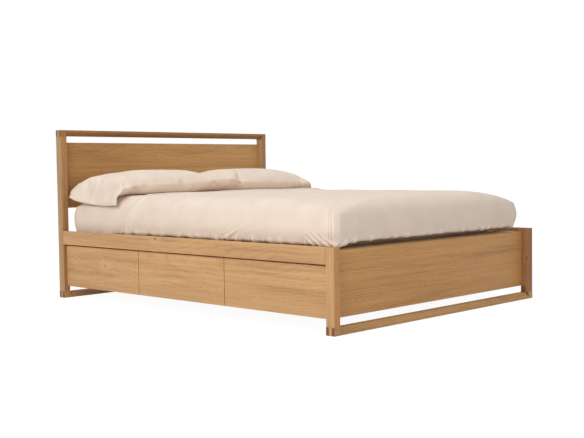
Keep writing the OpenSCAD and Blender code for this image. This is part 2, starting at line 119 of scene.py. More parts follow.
def growing_tree(name, **sizes):
    """A Geometry Nodes tree with a named input for each size, and its input node."""
    tree = bpy.data.node_groups.new(name, "GeometryNodeTree")
    tree.interface.new_socket("Geometry", in_out="INPUT", socket_type="NodeSocketGeometry")
    for key, value in sizes.items():
        tree.interface.new_socket(key, in_out="INPUT", socket_type="NodeSocketFloat").default_value = value
    tree.interface.new_socket("Finish", in_out="INPUT", socket_type="NodeSocketMaterial")
    tree.interface.new_socket("Geometry", in_out="OUTPUT", socket_type="NodeSocketGeometry")
    return tree, add(tree, "NodeGroupInput")


def close_tree(tree, inlet, geometry):
    """Ends a tree in Realize Instances and Set Material."""
    real = add(tree, "GeometryNodeRealizeInstances", {0: geometry})
    done = add(tree, "GeometryNodeSetMaterial", {0: real, "Material": inlet.outputs["Finish"]})
    add(tree, "NodeGroupOutput", {0: done})


def grown(name, tree, source, **inputs):
    """Runs a Geometry Nodes tree on a mesh and keeps the result as a plain mesh on a new object."""
    holder = placed(f"{name}_source", source)
    modifier = holder.modifiers.new("grow", "NODES")
    modifier.node_group = tree
    for item in tree.interface.items_tree:
        if item.in_out == "INPUT" and item.name in inputs:
            modifier[item.identifier] = inputs[item.name]
    holder.update_tag()
    mesh = bpy.data.meshes.new_from_object(holder.evaluated_get(bpy.context.evaluated_depsgraph_get()))
    bpy.data.objects.remove(holder)
    return placed(name, mesh)


# For a board whose grain runs along an axis: the two axes across it, then that axis
GRAIN_AXES = {"X": ("Y", "Z", "X"), "Y": ("X", "Z", "Y"), "Z": ("X", "Y", "Z")}
# How strong the end grain's own colour is, and the colour: planed oak, and oak that drank more oil
END_GRAIN = (0.62, "6A3F22")
OILY_END_GRAIN = (0.85, "6C3716")


def timber(name, along, pith, lean, tones, ring=9 * MM, figure=0.55, pores=0.5, knots=(), side=None,
           shade_fade=None, end_grain=END_GRAIN):
    """Planed timber: growth rings round a pith beside the board, long fibres, open pores and knots.

    pith is where the tree's heart lies across the grain, and lean is how far it shifts per metre, which
    opens the rings into arches. tones are its dark, middle and light colours. ring is the width of a
    year's ring, figure how strongly the rings show, and pores how dark the pores are. A knot has a centre
    (the two axes across the grain, then along it), a radius and a depth of colour. side is an axis and the
    tint of painted shade on the faces square to it, and shade_fade is where along the grain a tint of
    painted shade starts to fade, where it ends, and the tint.
    """
    material, tree, shader = new_material(name)
    place = add(tree, "ShaderNodeTexCoord").outputs["Object"]
    split = add(tree, "ShaderNodeSeparateXYZ", {0: place})
    a, b, c = (split.outputs[axis] for axis in GRAIN_AXES[along])
    grain = add(tree, "ShaderNodeCombineXYZ", {0: a, 1: b, 2: c})

    # The tree's heart wanders slowly, by up to 45 mm each way
    slow = add(tree, "ShaderNodeVectorMath", {0: grain, 1: (3.1, 3.1, 1.15)}, operation="MULTIPLY")
    wander = add(tree, "ShaderNodeTexNoise", {"Vector": slow, "Scale": 1.0, "Detail": 3.0})
    sway = add(tree, "ShaderNodeVectorMath",
               {0: wander.outputs["Color"], 1: (0.09, 0.09, 0), 2: (-pith[0] - 0.045, -pith[1] - 0.045, 0)},
               operation="MULTIPLY_ADD")
    tilt = add(tree, "ShaderNodeVectorMath", {0: (*lean, 0), "Scale": c}, operation="SCALE")
    base = add(tree, "ShaderNodeVectorMath", {0: grain, 1: (1, 1, 0), 2: sway}, operation="MULTIPLY_ADD")
    spot = add(tree, "ShaderNodeVectorMath", {0: base, 1: tilt}, operation="ADD")
    radius = add(tree, "ShaderNodeVectorMath", {0: spot}, operation="LENGTH").outputs["Value"]
    phase = add(tree, "ShaderNodeMath", {0: radius, 1: 1 / ring}, operation="MULTIPLY")

    # A knot pushes the rings aside, and has a pale collar and a dark core
    cores = []
    for centre, size, depth in knots:
        away = add(tree, "ShaderNodeVectorMath", {0: grain, 1: centre}, operation="SUBTRACT")
        squashed = add(tree, "ShaderNodeVectorMath", {0: away, 1: (0.6, 1.0, 0.62)}, operation="MULTIPLY")
        reach = add(tree, "ShaderNodeVectorMath", {0: squashed}, operation="LENGTH").outputs["Value"]
        swell = add(tree, "ShaderNodeMapRange", {"Value": reach, 1: size * 5.0, 2: 0.0, 3: 0.0, 4: 2.1},
                    interpolation_type="SMOOTHSTEP")
        phase = add(tree, "ShaderNodeMath", {0: phase, 1: swell}, operation="ADD")
        pale = add(tree, "ShaderNodeMapRange", {"Value": reach, 1: size * 4.0, 2: size, 3: 0.0, 4: 0.45},
                   interpolation_type="SMOOTHSTEP")
        core = add(tree, "ShaderNodeMapRange", {"Value": reach, 1: size, 2: size * 0.3, 3: 0.0, 4: depth},
                   interpolation_type="SMOOTHSTEP")
        cores.append((pale, core))

    # Each ring: dark where the year's growth ends and the next begins, and pale between
    turn = add(tree, "ShaderNodeMath", {0: phase}, operation="FRACT")
    rings = add(tree, "ShaderNodeValToRGB", {0: turn},
                stops=[(0.0, "5A5A5A"), (0.1, "6E6E6E"), (0.34, "CFCFCF"), (0.8, "DCDCDC"), (1.0, "5A5A5A")])

    # Bundles of fibres about 4 mm apart and fine ones of 1 mm, many centimetres long
    long_fibre = add(tree, "ShaderNodeVectorMath", {0: grain, 1: (230, 230, 5)}, operation="MULTIPLY")
    fibre = add(tree, "ShaderNodeTexNoise",
                {"Vector": long_fibre, "Scale": 1.0, "Detail": 4.0, "Roughness": 0.62})
    # Slow changes of tone, 70 mm wide
    broad_step = add(tree, "ShaderNodeVectorMath", {0: grain, 1: (15, 15, 1.3)}, operation="MULTIPLY")
    broad = add(tree, "ShaderNodeTexNoise", {"Vector": broad_step, "Scale": 1.0, "Detail": 2.0})

    # Open pores are 0.3 mm wide, too fine to show, so they are drawn about 1 mm wide and 30 mm long
    pore_step = add(tree, "ShaderNodeVectorMath", {0: grain, 1: (900, 900, 34)}, operation="MULTIPLY")
    pore_noise = add(tree, "ShaderNodeTexNoise", {"Vector": pore_step, "Scale": 1.0, "Detail": 1.0})
    pore = add(tree, "ShaderNodeMapRange", {"Value": pore_noise, 1: 0.58, 2: 0.72, 3: 0.0, 4: pores},
               interpolation_type="SMOOTHSTEP")

    # Streaks 17 mm wide and some 670 mm long
    streak_step = add(tree, "ShaderNodeVectorMath", {0: grain, 1: (60, 60, 1.5)}, operation="MULTIPLY")
    streak = add(tree, "ShaderNodeTexNoise", {"Vector": streak_step, "Scale": 1.0, "Detail": 3.0})

    # The shade adds these up, from a level set by the figure, and the tones turn it into colour
    level = -0.165 - 0.22 * figure
    ring_part = add(tree, "ShaderNodeMath", {0: rings, 1: 0.3 * figure, 2: level}, operation="MULTIPLY_ADD")
    fibre_part = add(tree, "ShaderNodeMath", {0: fibre, 1: 0.55, 2: ring_part}, operation="MULTIPLY_ADD")
    streak_part = add(tree, "ShaderNodeMath", {0: streak, 1: 0.55, 2: fibre_part}, operation="MULTIPLY_ADD")
    shade = add(tree, "ShaderNodeMath", {0: broad, 1: 0.6, 2: streak_part}, operation="MULTIPLY_ADD")
    dark, middle, light = tones
    colour = add(tree, "ShaderNodeValToRGB", {0: shade}, stops=[(0.32, dark), (0.62, middle), (0.92, light)])
    shaded = add(tree, "ShaderNodeMix", {0: pore, 6: colour, 7: linear(dark)}, data_type="RGBA",
                 blend_type="MULTIPLY").outputs[2]
    heart = [channel * share for channel, share in zip(linear(dark), (0.63, 0.44, 0.34, 1.0))]
    for pale, core in cores:
        collar = add(tree, "ShaderNodeMix", {0: pale, 6: shaded, 7: linear(light)}, data_type="RGBA")
        knotty = add(tree, "ShaderNodeMix", {0: core, 6: collar.outputs[2], 7: heart}, data_type="RGBA")
        shaded = knotty.outputs[2]

    normal = add(tree, "ShaderNodeNewGeometry").outputs["Normal"]
    # Painted shade: the faces square to the side axis take its tint
    if side:
        turned = add(tree, "ShaderNodeVectorMath", {0: normal, 1: [float(axis == side[0]) for axis in "XYZ"]},
                     operation="DOT_PRODUCT").outputs["Value"]
        square = add(tree, "ShaderNodeMath", {0: turned}, operation="ABSOLUTE")
        share = add(tree, "ShaderNodeMapRange", {"Value": square, 1: 0.6, 2: 0.9})
        shaded = add(tree, "ShaderNodeMix", {0: share, 6: shaded, 7: linear(side[1])}, data_type="RGBA",
                     blend_type="MULTIPLY").outputs[2]
    # Painted shade that fades along the grain, from where it starts to where it ends
    if shade_fade:
        share = add(tree, "ShaderNodeMapRange", {"Value": c, 1: shade_fade[0], 2: shade_fade[1], 3: 1.0, 4: 0.0},
                    interpolation_type="SMOOTHSTEP")
        shaded = add(tree, "ShaderNodeMix", {0: share, 6: shaded, 7: linear(shade_fade[2])}, data_type="RGBA",
                     blend_type="MULTIPLY").outputs[2]

    # End grain soaks up oil and goes darker
    facing = add(tree, "ShaderNodeVectorMath", {0: normal, 1: [float(axis == along) for axis in "XYZ"]},
                 operation="DOT_PRODUCT").outputs["Value"]
    size_of = add(tree, "ShaderNodeMath", {0: facing}, operation="ABSOLUTE")
    end = add(tree, "ShaderNodeMapRange", {"Value": size_of, 1: 0.7, 2: 0.95, 3: 0.0, 4: end_grain[0]},
              interpolation_type="SMOOTHSTEP")
    final = add(tree, "ShaderNodeMix", {0: end, 6: shaded, 7: linear(end_grain[1])}, data_type="RGBA")
    tree.links.new(final.outputs[2], shader.inputs["Base Color"])

    # An oiled surface, duller in the pores, and a slight relief of pores and fibres
    polish = add(tree, "ShaderNodeMath", {0: pore, 1: 0.2, 2: 0.5}, operation="MULTIPLY_ADD")
    tree.links.new(polish.outputs[0], shader.inputs["Roughness"])
    hollow = add(tree, "ShaderNodeMath", {0: pore, 1: -1.0, 2: fibre}, operation="MULTIPLY_ADD")
    relief = add(tree, "ShaderNodeBump", {"Height": hollow, "Strength": 0.35, "Distance": 0.15 * MM})
    tree.links.new(relief.outputs[0], shader.inputs["Normal"])
    return material


# Tones of each wood: dark, middle and light. Oiled oak boards differ in age and cut, and one holds painted
# shade
OAK = ("A97F53", "C99B69", "DDAF7B")
OAK_POST = ("9D764B", "C99E6B", "D9AC77")
OAK_OLD = ("8A6943", "B18C61", "C09A6C")
# The far foot post's oak: the same wood darkened to paint the shade that it stands in
OAK_SHADED = ("795230", "9B6F47", "A97A50")
OAK_WARM = ("946A3E", "BC8E58", "CC9C63")
OAK_DARK = ("7D542C", "A07241", "AE7C4A")
VENEER_FOOT = ("9B6C3B", "C59155", "D69F5E")
VENEER_HEAD = ("9C7242", "C7995F", "D8A86B")
BEECH = ("C79E74", "DDBB92", "E9CFAC")
BIRCH = ("CDAE82", "E2CAA2", "EEDDBE")


# Light, floor and camera

BED_MIDDLE = Vector((0, 0, 0.3))
# Each lamp's place, size in metres and power in watts: two windows and a bright ceiling
LAMPS = {
    "window_left": ((-6.0, -1.8, 3.4), 3.6, 215),
    "window_foot": ((-1.5, -6.5, 2.2), 3.0, 46),
    "ceiling": ((0.4, 0.6, 4.6), 4.0, 82),
}
FLOOR_REACH = 40.0
CAMERA_PLACE = (-4.09057, -3.96574, 0.74663)
CAMERA_YAW, CAMERA_PITCH, CAMERA_ROLL = -0.80382, -0.05197, -0.01296
CAMERA_LENS, CAMERA_SENSOR = 61.8531, 36.0        # millimetres


def lamp(name, place, size, power):
    """A square soft lamp that faces the middle of the bed."""
    data = bpy.data.lights.new(name, "AREA")
    data.shape = "SQUARE"
    data.size = size
    data.energy = power
    obj = placed(name, data)
    obj.location = place
    obj.rotation_euler = (BED_MIDDLE - obj.location).to_track_quat("-Z", "Y").to_euler()


def seen_directly(tree):
    """1 for what the camera sees, also in reflections and through clear things, and 0 for other light."""
    path = add(tree, "ShaderNodeLightPath")
    seen = add(tree, "ShaderNodeMath", {0: path.outputs["Is Camera Ray"], 1: path.outputs["Is Glossy Ray"]},
               operation="MAXIMUM")
    return add(tree, "ShaderNodeMath", {0: seen, 1: path.outputs["Is Transmission Ray"]}, operation="MAXIMUM")


def studio():
    """White surroundings that light the object evenly, and the lamps."""
    scene = bpy.context.scene
    scene.view_settings.view_transform = "Standard"
    world = bpy.data.worlds.new("studio_air")
    scene.world = world
    world.use_nodes = True
    tree = world.node_tree
    tree.nodes.clear()
    strength = add(tree, "ShaderNodeMapRange", {"Value": seen_directly(tree), 3: 0.30, 4: 1.0})
    back = add(tree, "ShaderNodeBackground", {"Color": linear("FFFFFF"), "Strength": strength})
    add(tree, "ShaderNodeOutputWorld", {0: back})
    for name, (place, size, power) in LAMPS.items():
        lamp(name, place, size, power)


def floor_plane():
    """Matt white studio board: it glows for the eye, and keeps part of the object's shadow."""
    mesh = bpy.data.meshes.new("floor")
    corners = [(x * FLOOR_REACH, y * FLOOR_REACH, 0) for x, y in ((-1, -1), (1, -1), (1, 1), (-1, 1))]
    mesh.from_pydata(corners, [], [(0, 1, 2, 3)])
    obj = placed("floor", mesh)
    material, tree, shader = new_material("studio_board", Base_Color=linear("EDEBE8"), Roughness=0.9)
    # The glow is all there is 4 m from the bed, and leaves some of the shadow near it
    place = add(tree, "ShaderNodeTexCoord").outputs["Object"]
    away = add(tree, "ShaderNodeVectorMath", {0: place}, operation="LENGTH").outputs["Value"]
    paper = add(tree, "ShaderNodeMapRange", {"Value": away, 1: 2.0, 2: 4.0, 3: 0.86, 4: 1.0})
    share = add(tree, "ShaderNodeMath", {0: seen_directly(tree), 1: paper}, operation="MULTIPLY")
    glow = add(tree, "ShaderNodeEmission", {"Color": linear("FFFFFF"), "Strength": 1.1})
    both = add(tree, "ShaderNodeMixShader", {0: share, 1: shader, 2: glow})
    tree.links.new(both.outputs[0], tree.nodes["Material Output"].inputs["Surface"])
    mesh.materials.append(material)
    obj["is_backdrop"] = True


def camera():
    """The camera: yaw and pitch give where it looks, and roll turns it about that line."""
    data = bpy.data.cameras.new("camera")
    data.sensor_width = CAMERA_SENSOR
    data.lens = CAMERA_LENS
    data.clip_start = 0.05
    data.clip_end = 200.0
    yaw, pitch, roll = CAMERA_YAW, CAMERA_PITCH, CAMERA_ROLL
    ahead = Vector((-math.sin(yaw) * math.cos(pitch), math.cos(yaw) * math.cos(pitch), math.sin(pitch)))
    across = Vector((math.cos(yaw), math.sin(yaw), 0))
    up = across.cross(ahead)
    right = math.cos(roll) * across + math.sin(roll) * up
    top = -math.sin(roll) * across + math.cos(roll) * up
    obj = placed("camera", data)
    turn = Matrix((right, top, -ahead)).transposed().to_4x4()
    obj.matrix_world = Matrix.Translation(CAMERA_PLACE) @ turn
    bpy.context.scene.camera = obj


studio()
floor_plane()
camera()


# Timber

def eased(node, material, body="bed", width=0.7 * MM):
    """A copy of a CAD node with its edges rounded by sandpaper, which stands for that node."""
    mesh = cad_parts[node].data.copy()
    mesh.name = f"{node}_eased"
    bm = bmesh.new()
    bm.from_mesh(mesh)
    bmesh.ops.remove_doubles(bm, verts=bm.verts, dist=0.01 * MM)
    bmesh.ops.dissolve_limit(bm, angle_limit=math.radians(0.5), verts=bm.verts, edges=bm.edges)
    sharp = [e for e in bm.edges if len(e.link_faces) == 2 and e.calc_face_angle() > math.radians(28)]
    bmesh.ops.bevel(bm, geom=sharp, offset=width, segments=2, profile=0.5, affect="EDGES", clamp_overlap=True)
    bm.to_mesh(mesh)
    bm.free()
    for polygon in mesh.polygons:
        polygon.use_smooth = True
    mesh.set_sharp_from_angle(angle=math.radians(20))
    mesh.materials.clear()
    mesh.materials.append(material)
    piece = placed(mesh.name, mesh)
    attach(piece, body)
    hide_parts(node)
    return piece


# Each post: where its pith lies and leans, its tones, the painted shade tint of its Y faces and its knots
POSTS = {
    "head_post_left": ((-0.95, 1.20), (0.02, 0.01), OAK_OLD, "FDE9D2", []),
    "head_post_right": ((0.60, 0.90), (0.03, -0.02), OAK_OLD, "EDDBC8", []),
    "foot_post_left": ((-0.70, -1.25), (0.02, 0.03), OAK_POST, "F1DBBC", []),
    # The far foot post's lower knot is a dark patch of painted shade at the foot of its inner face
    "foot_post_right": ((1.00, -0.90), (-0.02, 0.03), OAK_SHADED, "F0DAA4",
                        [((0.790, -1.060, 0.227), 8 * MM, 0.8), ((0.790, -1.040, 0.050), 22 * MM, 0.85)]),
}
for node, (pith, lean, tones, tint, knots) in POSTS.items():
    eased(node, timber(f"oak_{node}", "Z", pith, lean, tones, knots=knots, side=("Y", tint)))
# Each cross rail: the same, and its end grain
CROSS_RAILS = {
    "head_top_rail": ((1.30, 0.80), (0.02, 0.02), OAK_DARK, END_GRAIN),
    "head_bottom_rail": ((0.90, 0.15), (0.02, 0.01), OAK_WARM, OILY_END_GRAIN),
    "foot_bottom_rail": ((-1.20, 0.16), (0.02, -0.02), OAK_WARM, OILY_END_GRAIN),
}
for node, (pith, lean, tones, end_grain) in CROSS_RAILS.items():
    eased(node, timber(f"oak_{node}", "X", pith, lean, tones, end_grain=end_grain))
# Each side rail and drawer front: its pith, lean and knots
SIDE_RAILS = {
    "side_rail_left": ((-0.70, 0.30), (-0.025, 0.03), [((-0.830, 0.380, 0.170), 11 * MM, 0.7)]),
    "side_rail_right": ((0.66, 0.42), (0.03, 0.02), []),
}
for node, (pith, lean, knots) in SIDE_RAILS.items():
    eased(node, timber(f"oak_{node}", "Y", pith, lean, OAK, knots=knots))
FRONTS = {
    "left_foot": ((-0.61, 0.33), (0.03, 0.03), []),
    "left_middle": ((-0.60, 0.29), (-0.04, 0.02), []),
    "left_head": ((-0.66, 0.17), (0.05, -0.02), [((-0.811, 0.209, 0.644), 12 * MM, 0.45)]),
    "right_foot": ((0.61, 0.20), (0.04, 0.02), []),
    "right_middle": ((0.64, 0.10), (-0.05, 0.03), []),
    "right_head": ((0.60, 0.26), (0.05, 0.02), []),
}
for drawer, (pith, lean, knots) in FRONTS.items():
    eased(f"{drawer}_drawer_front", timber(f"oak_{drawer}_front", "Y", pith, lean, OAK, knots=knots),
          body=f"{drawer}_drawer")
# The head panel is darker towards its left end with painted shade, fading out by 0.4 m right of the middle
eased("head_panel", timber("veneer_head_panel", "X", (0.60, 0.95), (0.01, 0.01), VENEER_HEAD, ring=7 * MM,
                           shade_fade=(-0.8, 0.4, "E6DDD0")), width=0.5 * MM)
eased("foot_panel", timber("veneer_foot_panel", "X", (-0.55, 0.62), (0.01, 0.01), VENEER_FOOT, ring=7 * MM),
      width=0.5 * MM)

# Planed beech and peeled birch look plainer than oak, with fine pores, and birch is the palest. Zinc plate
# is a cool grey metal and turned brass a warm one, both fairly bright, and moulded nylon is dark and dull.
beech = timber("beech", "X", (0.4, 0.9), (0.02, 0.02), BEECH, figure=0.5, pores=0.2)
beech_long = timber("beech_long", "Y", (0.4, 0.9), (0.02, 0.02), BEECH, figure=0.5, pores=0.2)
birch = timber("birch_ply", "X", (0.3, 0.8), (0.03, 0.02), BIRCH, figure=0.5, pores=0.15)
ply = timber("veneered_ply", "X", (0.3, 1.1), (0.03, 0.02), BIRCH, figure=0.5, pores=0.15)
leg_oak = timber("oak_legs", "Z", (0.2, 0.4), (0.02, 0.02), OAK)
zinc, _, _ = new_material("zinc_plated_steel", Base_Color=linear("B9BCBE"), Metallic=1.0, Roughness=0.32)
brass, _, _ = new_material("brass", Base_Color=linear("C9A55C"), Metallic=1.0, Roughness=0.3)
nylon, _, _ = new_material("nylon", Base_Color=linear("4A4744"), Roughness=0.55)

# The finish of each CAD node that shows as it is
FINISHES = {
    "slat_ledgers": beech_long, "rail_dowels": beech_long, "centre_spine": ply,
    "divider_head": ply, "divider_foot": ply, "head_end_board": ply, "centre_legs": leg_oak, "glides": nylon,
    "corner_brackets": zinc, "bracket_bolts": zinc, "runner_rails": zinc, "post_inserts": brass,
}
for drawer in DRAWERS:
    FINISHES[f"{drawer}_drawer_bottom"] = birch
    FINISHES[f"{drawer}_drawer_hardware"] = zinc
    FINISHES[f"{drawer}_carriage"] = zinc
for node, material in FINISHES.items():
    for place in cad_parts[node].material_slots:
        place.material = material


def slat_tree():
    """Sprung slats: a rounded section drawn along each slat's length, one at each point of the source."""
    tree, inlet = growing_tree("sprung_slats", Length=1.6, Width=0.07, Thickness=0.018, Edge=0.004)
    size = inlet.outputs
    section = add(tree, "GeometryNodeCurvePrimitiveQuadrilateral",
                  {"Width": size["Width"], "Height": size["Thickness"]})
    rounded = add(tree, "GeometryNodeFilletCurve", {"Curve": section, "Radius": size["Edge"], "Count": 3},
                  mode="POLY")
    half = add(tree, "ShaderNodeMath", {0: size["Length"], 1: 0.5}, operation="MULTIPLY")
    back = add(tree, "ShaderNodeMath", {0: half, 1: -1.0}, operation="MULTIPLY")
    start = add(tree, "ShaderNodeCombineXYZ", {0: back})
    end = add(tree, "ShaderNodeCombineXYZ", {0: half})
    line = add(tree, "GeometryNodeCurvePrimitiveLine", {"Start": start, "End": end})
    body = add(tree, "GeometryNodeCurveToMesh", {"Curve": line, "Profile Curve": rounded, "Fill Caps": True})
    slats_placed = add(tree, "GeometryNodeInstanceOnPoints", {"Points": size["Geometry"], "Instance": body})
    close_tree(tree, inlet, slats_placed)
    return tree


def screw_tree():
    """Wood screws with a countersunk head and a cross recess, each turned its own way."""
    tree, inlet = growing_tree("wood_screws", Head=0.004, Shank=0.002, Depth=0.0025, Length=0.02)
    size = inlet.outputs
    head = add(tree, "GeometryNodeMeshCone", {"Vertices": 24, "Radius Top": size["Head"],
                                              "Radius Bottom": size["Shank"], "Depth": size["Depth"]})
    sunk = add(tree, "ShaderNodeMath", {0: size["Depth"], 1: -1.0}, operation="MULTIPLY")
    head_move = add(tree, "ShaderNodeCombineXYZ", {2: sunk})
    head_placed = add(tree, "GeometryNodeTransform",
                      {"Geometry": head.outputs["Mesh"], "Translation": head_move})
    arm = add(tree, "ShaderNodeMath", {0: size["Head"], 1: 1.15}, operation="MULTIPLY")
    thin = add(tree, "ShaderNodeMath", {0: size["Head"], 1: 0.22}, operation="MULTIPLY")
    recess = add(tree, "GeometryNodeJoinGeometry")
    for across, along in ((arm, thin), (thin, arm)):
        bar_size = add(tree, "ShaderNodeCombineXYZ", {0: across, 1: along, 2: size["Depth"]})
        bar = add(tree, "GeometryNodeMeshCube", {"Size": bar_size})
        tree.links.new(bar.outputs["Mesh"], recess.inputs[0])
    cut = add(tree, "GeometryNodeMeshBoolean", {0: head_placed, 1: recess}, operation="DIFFERENCE",
              solver="EXACT")
    shank = add(tree, "GeometryNodeMeshCylinder", {"Vertices": 12, "Radius": size["Shank"],
                                                   "Depth": size["Length"]})
    half = add(tree, "ShaderNodeMath", {0: size["Length"], 1: -0.5, 2: sunk}, operation="MULTIPLY_ADD")
    shank_move = add(tree, "ShaderNodeCombineXYZ", {2: half})
    shank_placed = add(tree, "GeometryNodeTransform",
                       {"Geometry": shank.outputs["Mesh"], "Translation": shank_move})
    whole = add(tree, "GeometryNodeJoinGeometry", {0: cut.outputs["Mesh"]})
    tree.links.new(shank_placed.outputs[0], whole.inputs[0])
    way = add(tree, "GeometryNodeInputNamedAttribute", {"Name": "way"}, data_type="FLOAT_VECTOR")
    turned = add(tree, "FunctionNodeAlignRotationToVector", {"Vector": way.outputs[0]}, axis="Z")
    angle = add(tree, "FunctionNodeRandomValue", {2: 0.0, 3: 1.5, "Seed": 5}, data_type="FLOAT")
    spin = add(tree, "ShaderNodeCombineXYZ", {2: angle.outputs[1]})
    own = add(tree, "FunctionNodeRotateRotation", {0: turned, 1: spin}, rotation_space="LOCAL")
    screws_placed = add(tree, "GeometryNodeInstanceOnPoints",
                        {"Points": size["Geometry"], "Instance": whole, "Rotation": own})
    close_tree(tree, inlet, screws_placed)
    return tree


def stitch_tree():
    """Lockstitches along a seam: one grain-shaped thread loop at every pitch."""
    tree, inlet = growing_tree("seam_stitches", Pitch=0.005, Long=0.0032, Thick=0.0008)
    size = inlet.outputs
    seam_line = add(tree, "GeometryNodeMeshToCurve", {"Mesh": size["Geometry"]})
    spots = add(tree, "GeometryNodeResampleCurve", {"Curve": seam_line, "Length": size["Pitch"]},
                mode="LENGTH")
    bead = add(tree, "GeometryNodeMeshUVSphere", {"Segments": 6, "Rings": 4, "Radius": 0.5})
    shape = add(tree, "ShaderNodeCombineXYZ", {0: size["Long"], 1: size["Thick"], 2: size["Thick"]})
    loop = add(tree, "GeometryNodeTransform", {"Geometry": bead.outputs["Mesh"], "Scale": shape})
    tangent = add(tree, "GeometryNodeInputTangent")
    turned = add(tree, "FunctionNodeAlignRotationToVector", {"Vector": tangent}, axis="X")
    loops_placed = add(tree, "GeometryNodeInstanceOnPoints",
                       {"Points": spots, "Instance": loop, "Rotation": turned})
    close_tree(tree, inlet, loops_placed)
    return tree


def islands(node):
    """The corners of each separate solid of a CAD node."""
    bm = bmesh.new()
    bm.from_mesh(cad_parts[node].data)
    bmesh.ops.remove_doubles(bm, verts=bm.verts, dist=0.01 * MM)
    left, found = set(bm.verts), []
    while left:
        reach, group = [left.pop()], []
        while reach:
            vertex = reach.pop()
            group.append(vertex.co.copy())
            for edge in vertex.link_edges:
                other = edge.other_vert(vertex)
                if other in left:
                    left.remove(other)
                    reach.append(other)
        found.append(np.array(group))
    bm.free()
    return sorted(found, key=lambda spots: tuple(spots.min(0).round(4)))


def points_mesh(name, places, ways=None):
    """A mesh of loose points, and the way that the piece at each one faces."""
    mesh = bpy.data.meshes.new(name)
    mesh.from_pydata([tuple(place) for place in places], [], [])
    if ways is not None:
        mesh.attributes.new("way", "FLOAT_VECTOR", "POINT").data.foreach_set("vector", np.array(ways).ravel())
    return mesh


# The slats: their places and sizes from the CAD ones
slats = islands("slats")
slat_size = slats[0].max(0) - slats[0].min(0)
slat_places = points_mesh("slat_places", [(spots.min(0) + spots.max(0)) / 2 for spots in slats])
slat_piece = grown("sprung_slats", slat_tree(), slat_places, Length=float(slat_size[0]),
                   Width=float(slat_size[1]), Thickness=float(slat_size[2]), Edge=3 * MM, Finish=beech)
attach(slat_piece, "bed")
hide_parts("slats")

# The screws: each lies along its longest side, and its head is at the wider end
SCREW_HEAD, SCREW_SHANK, SCREW_SUNK = 4 * MM, 2 * MM, 2.5 * MM
screws = islands("panel_screws")
places, ways = [], []
for spots in screws:
    low, high = spots.min(0), spots.max(0)
    axis = int(np.argmax(high - low))
    middle = (low + high) / 2
    wide = []
    for end in (low[axis], high[axis]):
        rim = spots[np.abs(spots[:, axis] - end) < 0.2 * MM] - middle
        wide.append(np.abs(np.delete(rim, axis, 1)).max())
    way = np.zeros(3)
    way[axis] = 1.0 if wide[1] > wide[0] else -1.0
    place = middle.copy()
    place[axis] = high[axis] if wide[1] > wide[0] else low[axis]
    places.append(place)
    ways.append(way)
screw_long = min(float((spots.max(0) - spots.min(0)).max()) for spots in screws)
screw_piece = grown("countersunk_screws", screw_tree(), points_mesh("screw_places", places, ways),
                    Head=SCREW_HEAD, Shank=SCREW_SHANK, Depth=SCREW_SUNK, Length=screw_long - SCREW_SUNK,
                    Finish=zinc)
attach(screw_piece, "bed")
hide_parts("panel_screws")

# Drawer boxes: birch plywood, whose nine plies show on the top edges
PLY = 12 * MM / 9


def plywood(name, along, pith):
    """Birch plywood: a peeled face, and on the edges that face up its plies, dark and light in turn."""
    material = timber(name, along, pith, (0.03, 0.02), BIRCH, figure=0.3, pores=0.15)
    tree = material.node_tree
    shader = tree.nodes["Principled BSDF"]
    face = shader.inputs["Base Color"].links[0].from_socket
    depth = add(tree, "ShaderNodeAttribute", attribute_name="ply_depth").outputs["Fac"]
    layer = add(tree, "ShaderNodeMath", {0: depth, 1: math.pi / PLY}, operation="MULTIPLY")
    swing = add(tree, "ShaderNodeMath", {0: layer}, operation="SINE")
    normal = add(tree, "ShaderNodeNewGeometry").outputs["Normal"]
    upward = add(tree, "ShaderNodeSeparateXYZ", {0: normal}).outputs["Z"]
    edge = add(tree, "ShaderNodeMapRange", {"Value": upward, 1: 0.6, 2: 0.9})
    dark_ply = add(tree, "ShaderNodeMapRange", {"Value": swing, 1: -0.3, 2: 0.3, 3: 0.0, 4: 0.75})
    share = add(tree, "ShaderNodeMath", {0: dark_ply, 1: edge}, operation="MULTIPLY")
    edged = add(tree, "ShaderNodeMix", {0: share, 6: face, 7: linear("A9825A")}, data_type="RGBA").outputs[2]
    tree.links.new(edged, shader.inputs["Base Color"])
    return material


sides_birch = plywood("birch_plywood", "X", (0.3, 0.8))
ends_birch = plywood("birch_plywood_crosswise", "Y", (0.3, 0.8))
for drawer in DRAWERS:
    node = f"{drawer}_drawer_box"
    low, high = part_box(node)
    piece = eased(node, sides_birch, body=f"{drawer}_drawer", width=0.5 * MM)
    # The front and back walls' grain runs along them
    piece.data.materials.append(ends_birch)
    for polygon in piece.data.polygons:
        polygon.material_index = int(abs(polygon.normal.x) > 0.7)
    spots = np.array([v.co for v in piece.data.vertices])
    inset = np.minimum.reduce([spots[:, 0] - low.x, high.x - spots[:, 0],
                               spots[:, 1] - low.y, high.y - spots[:, 1]])
    ply_depth = piece.data.attributes.new("ply_depth", "FLOAT", "POINT")
    ply_depth.data.foreach_set("value", inset.astype(np.float32))


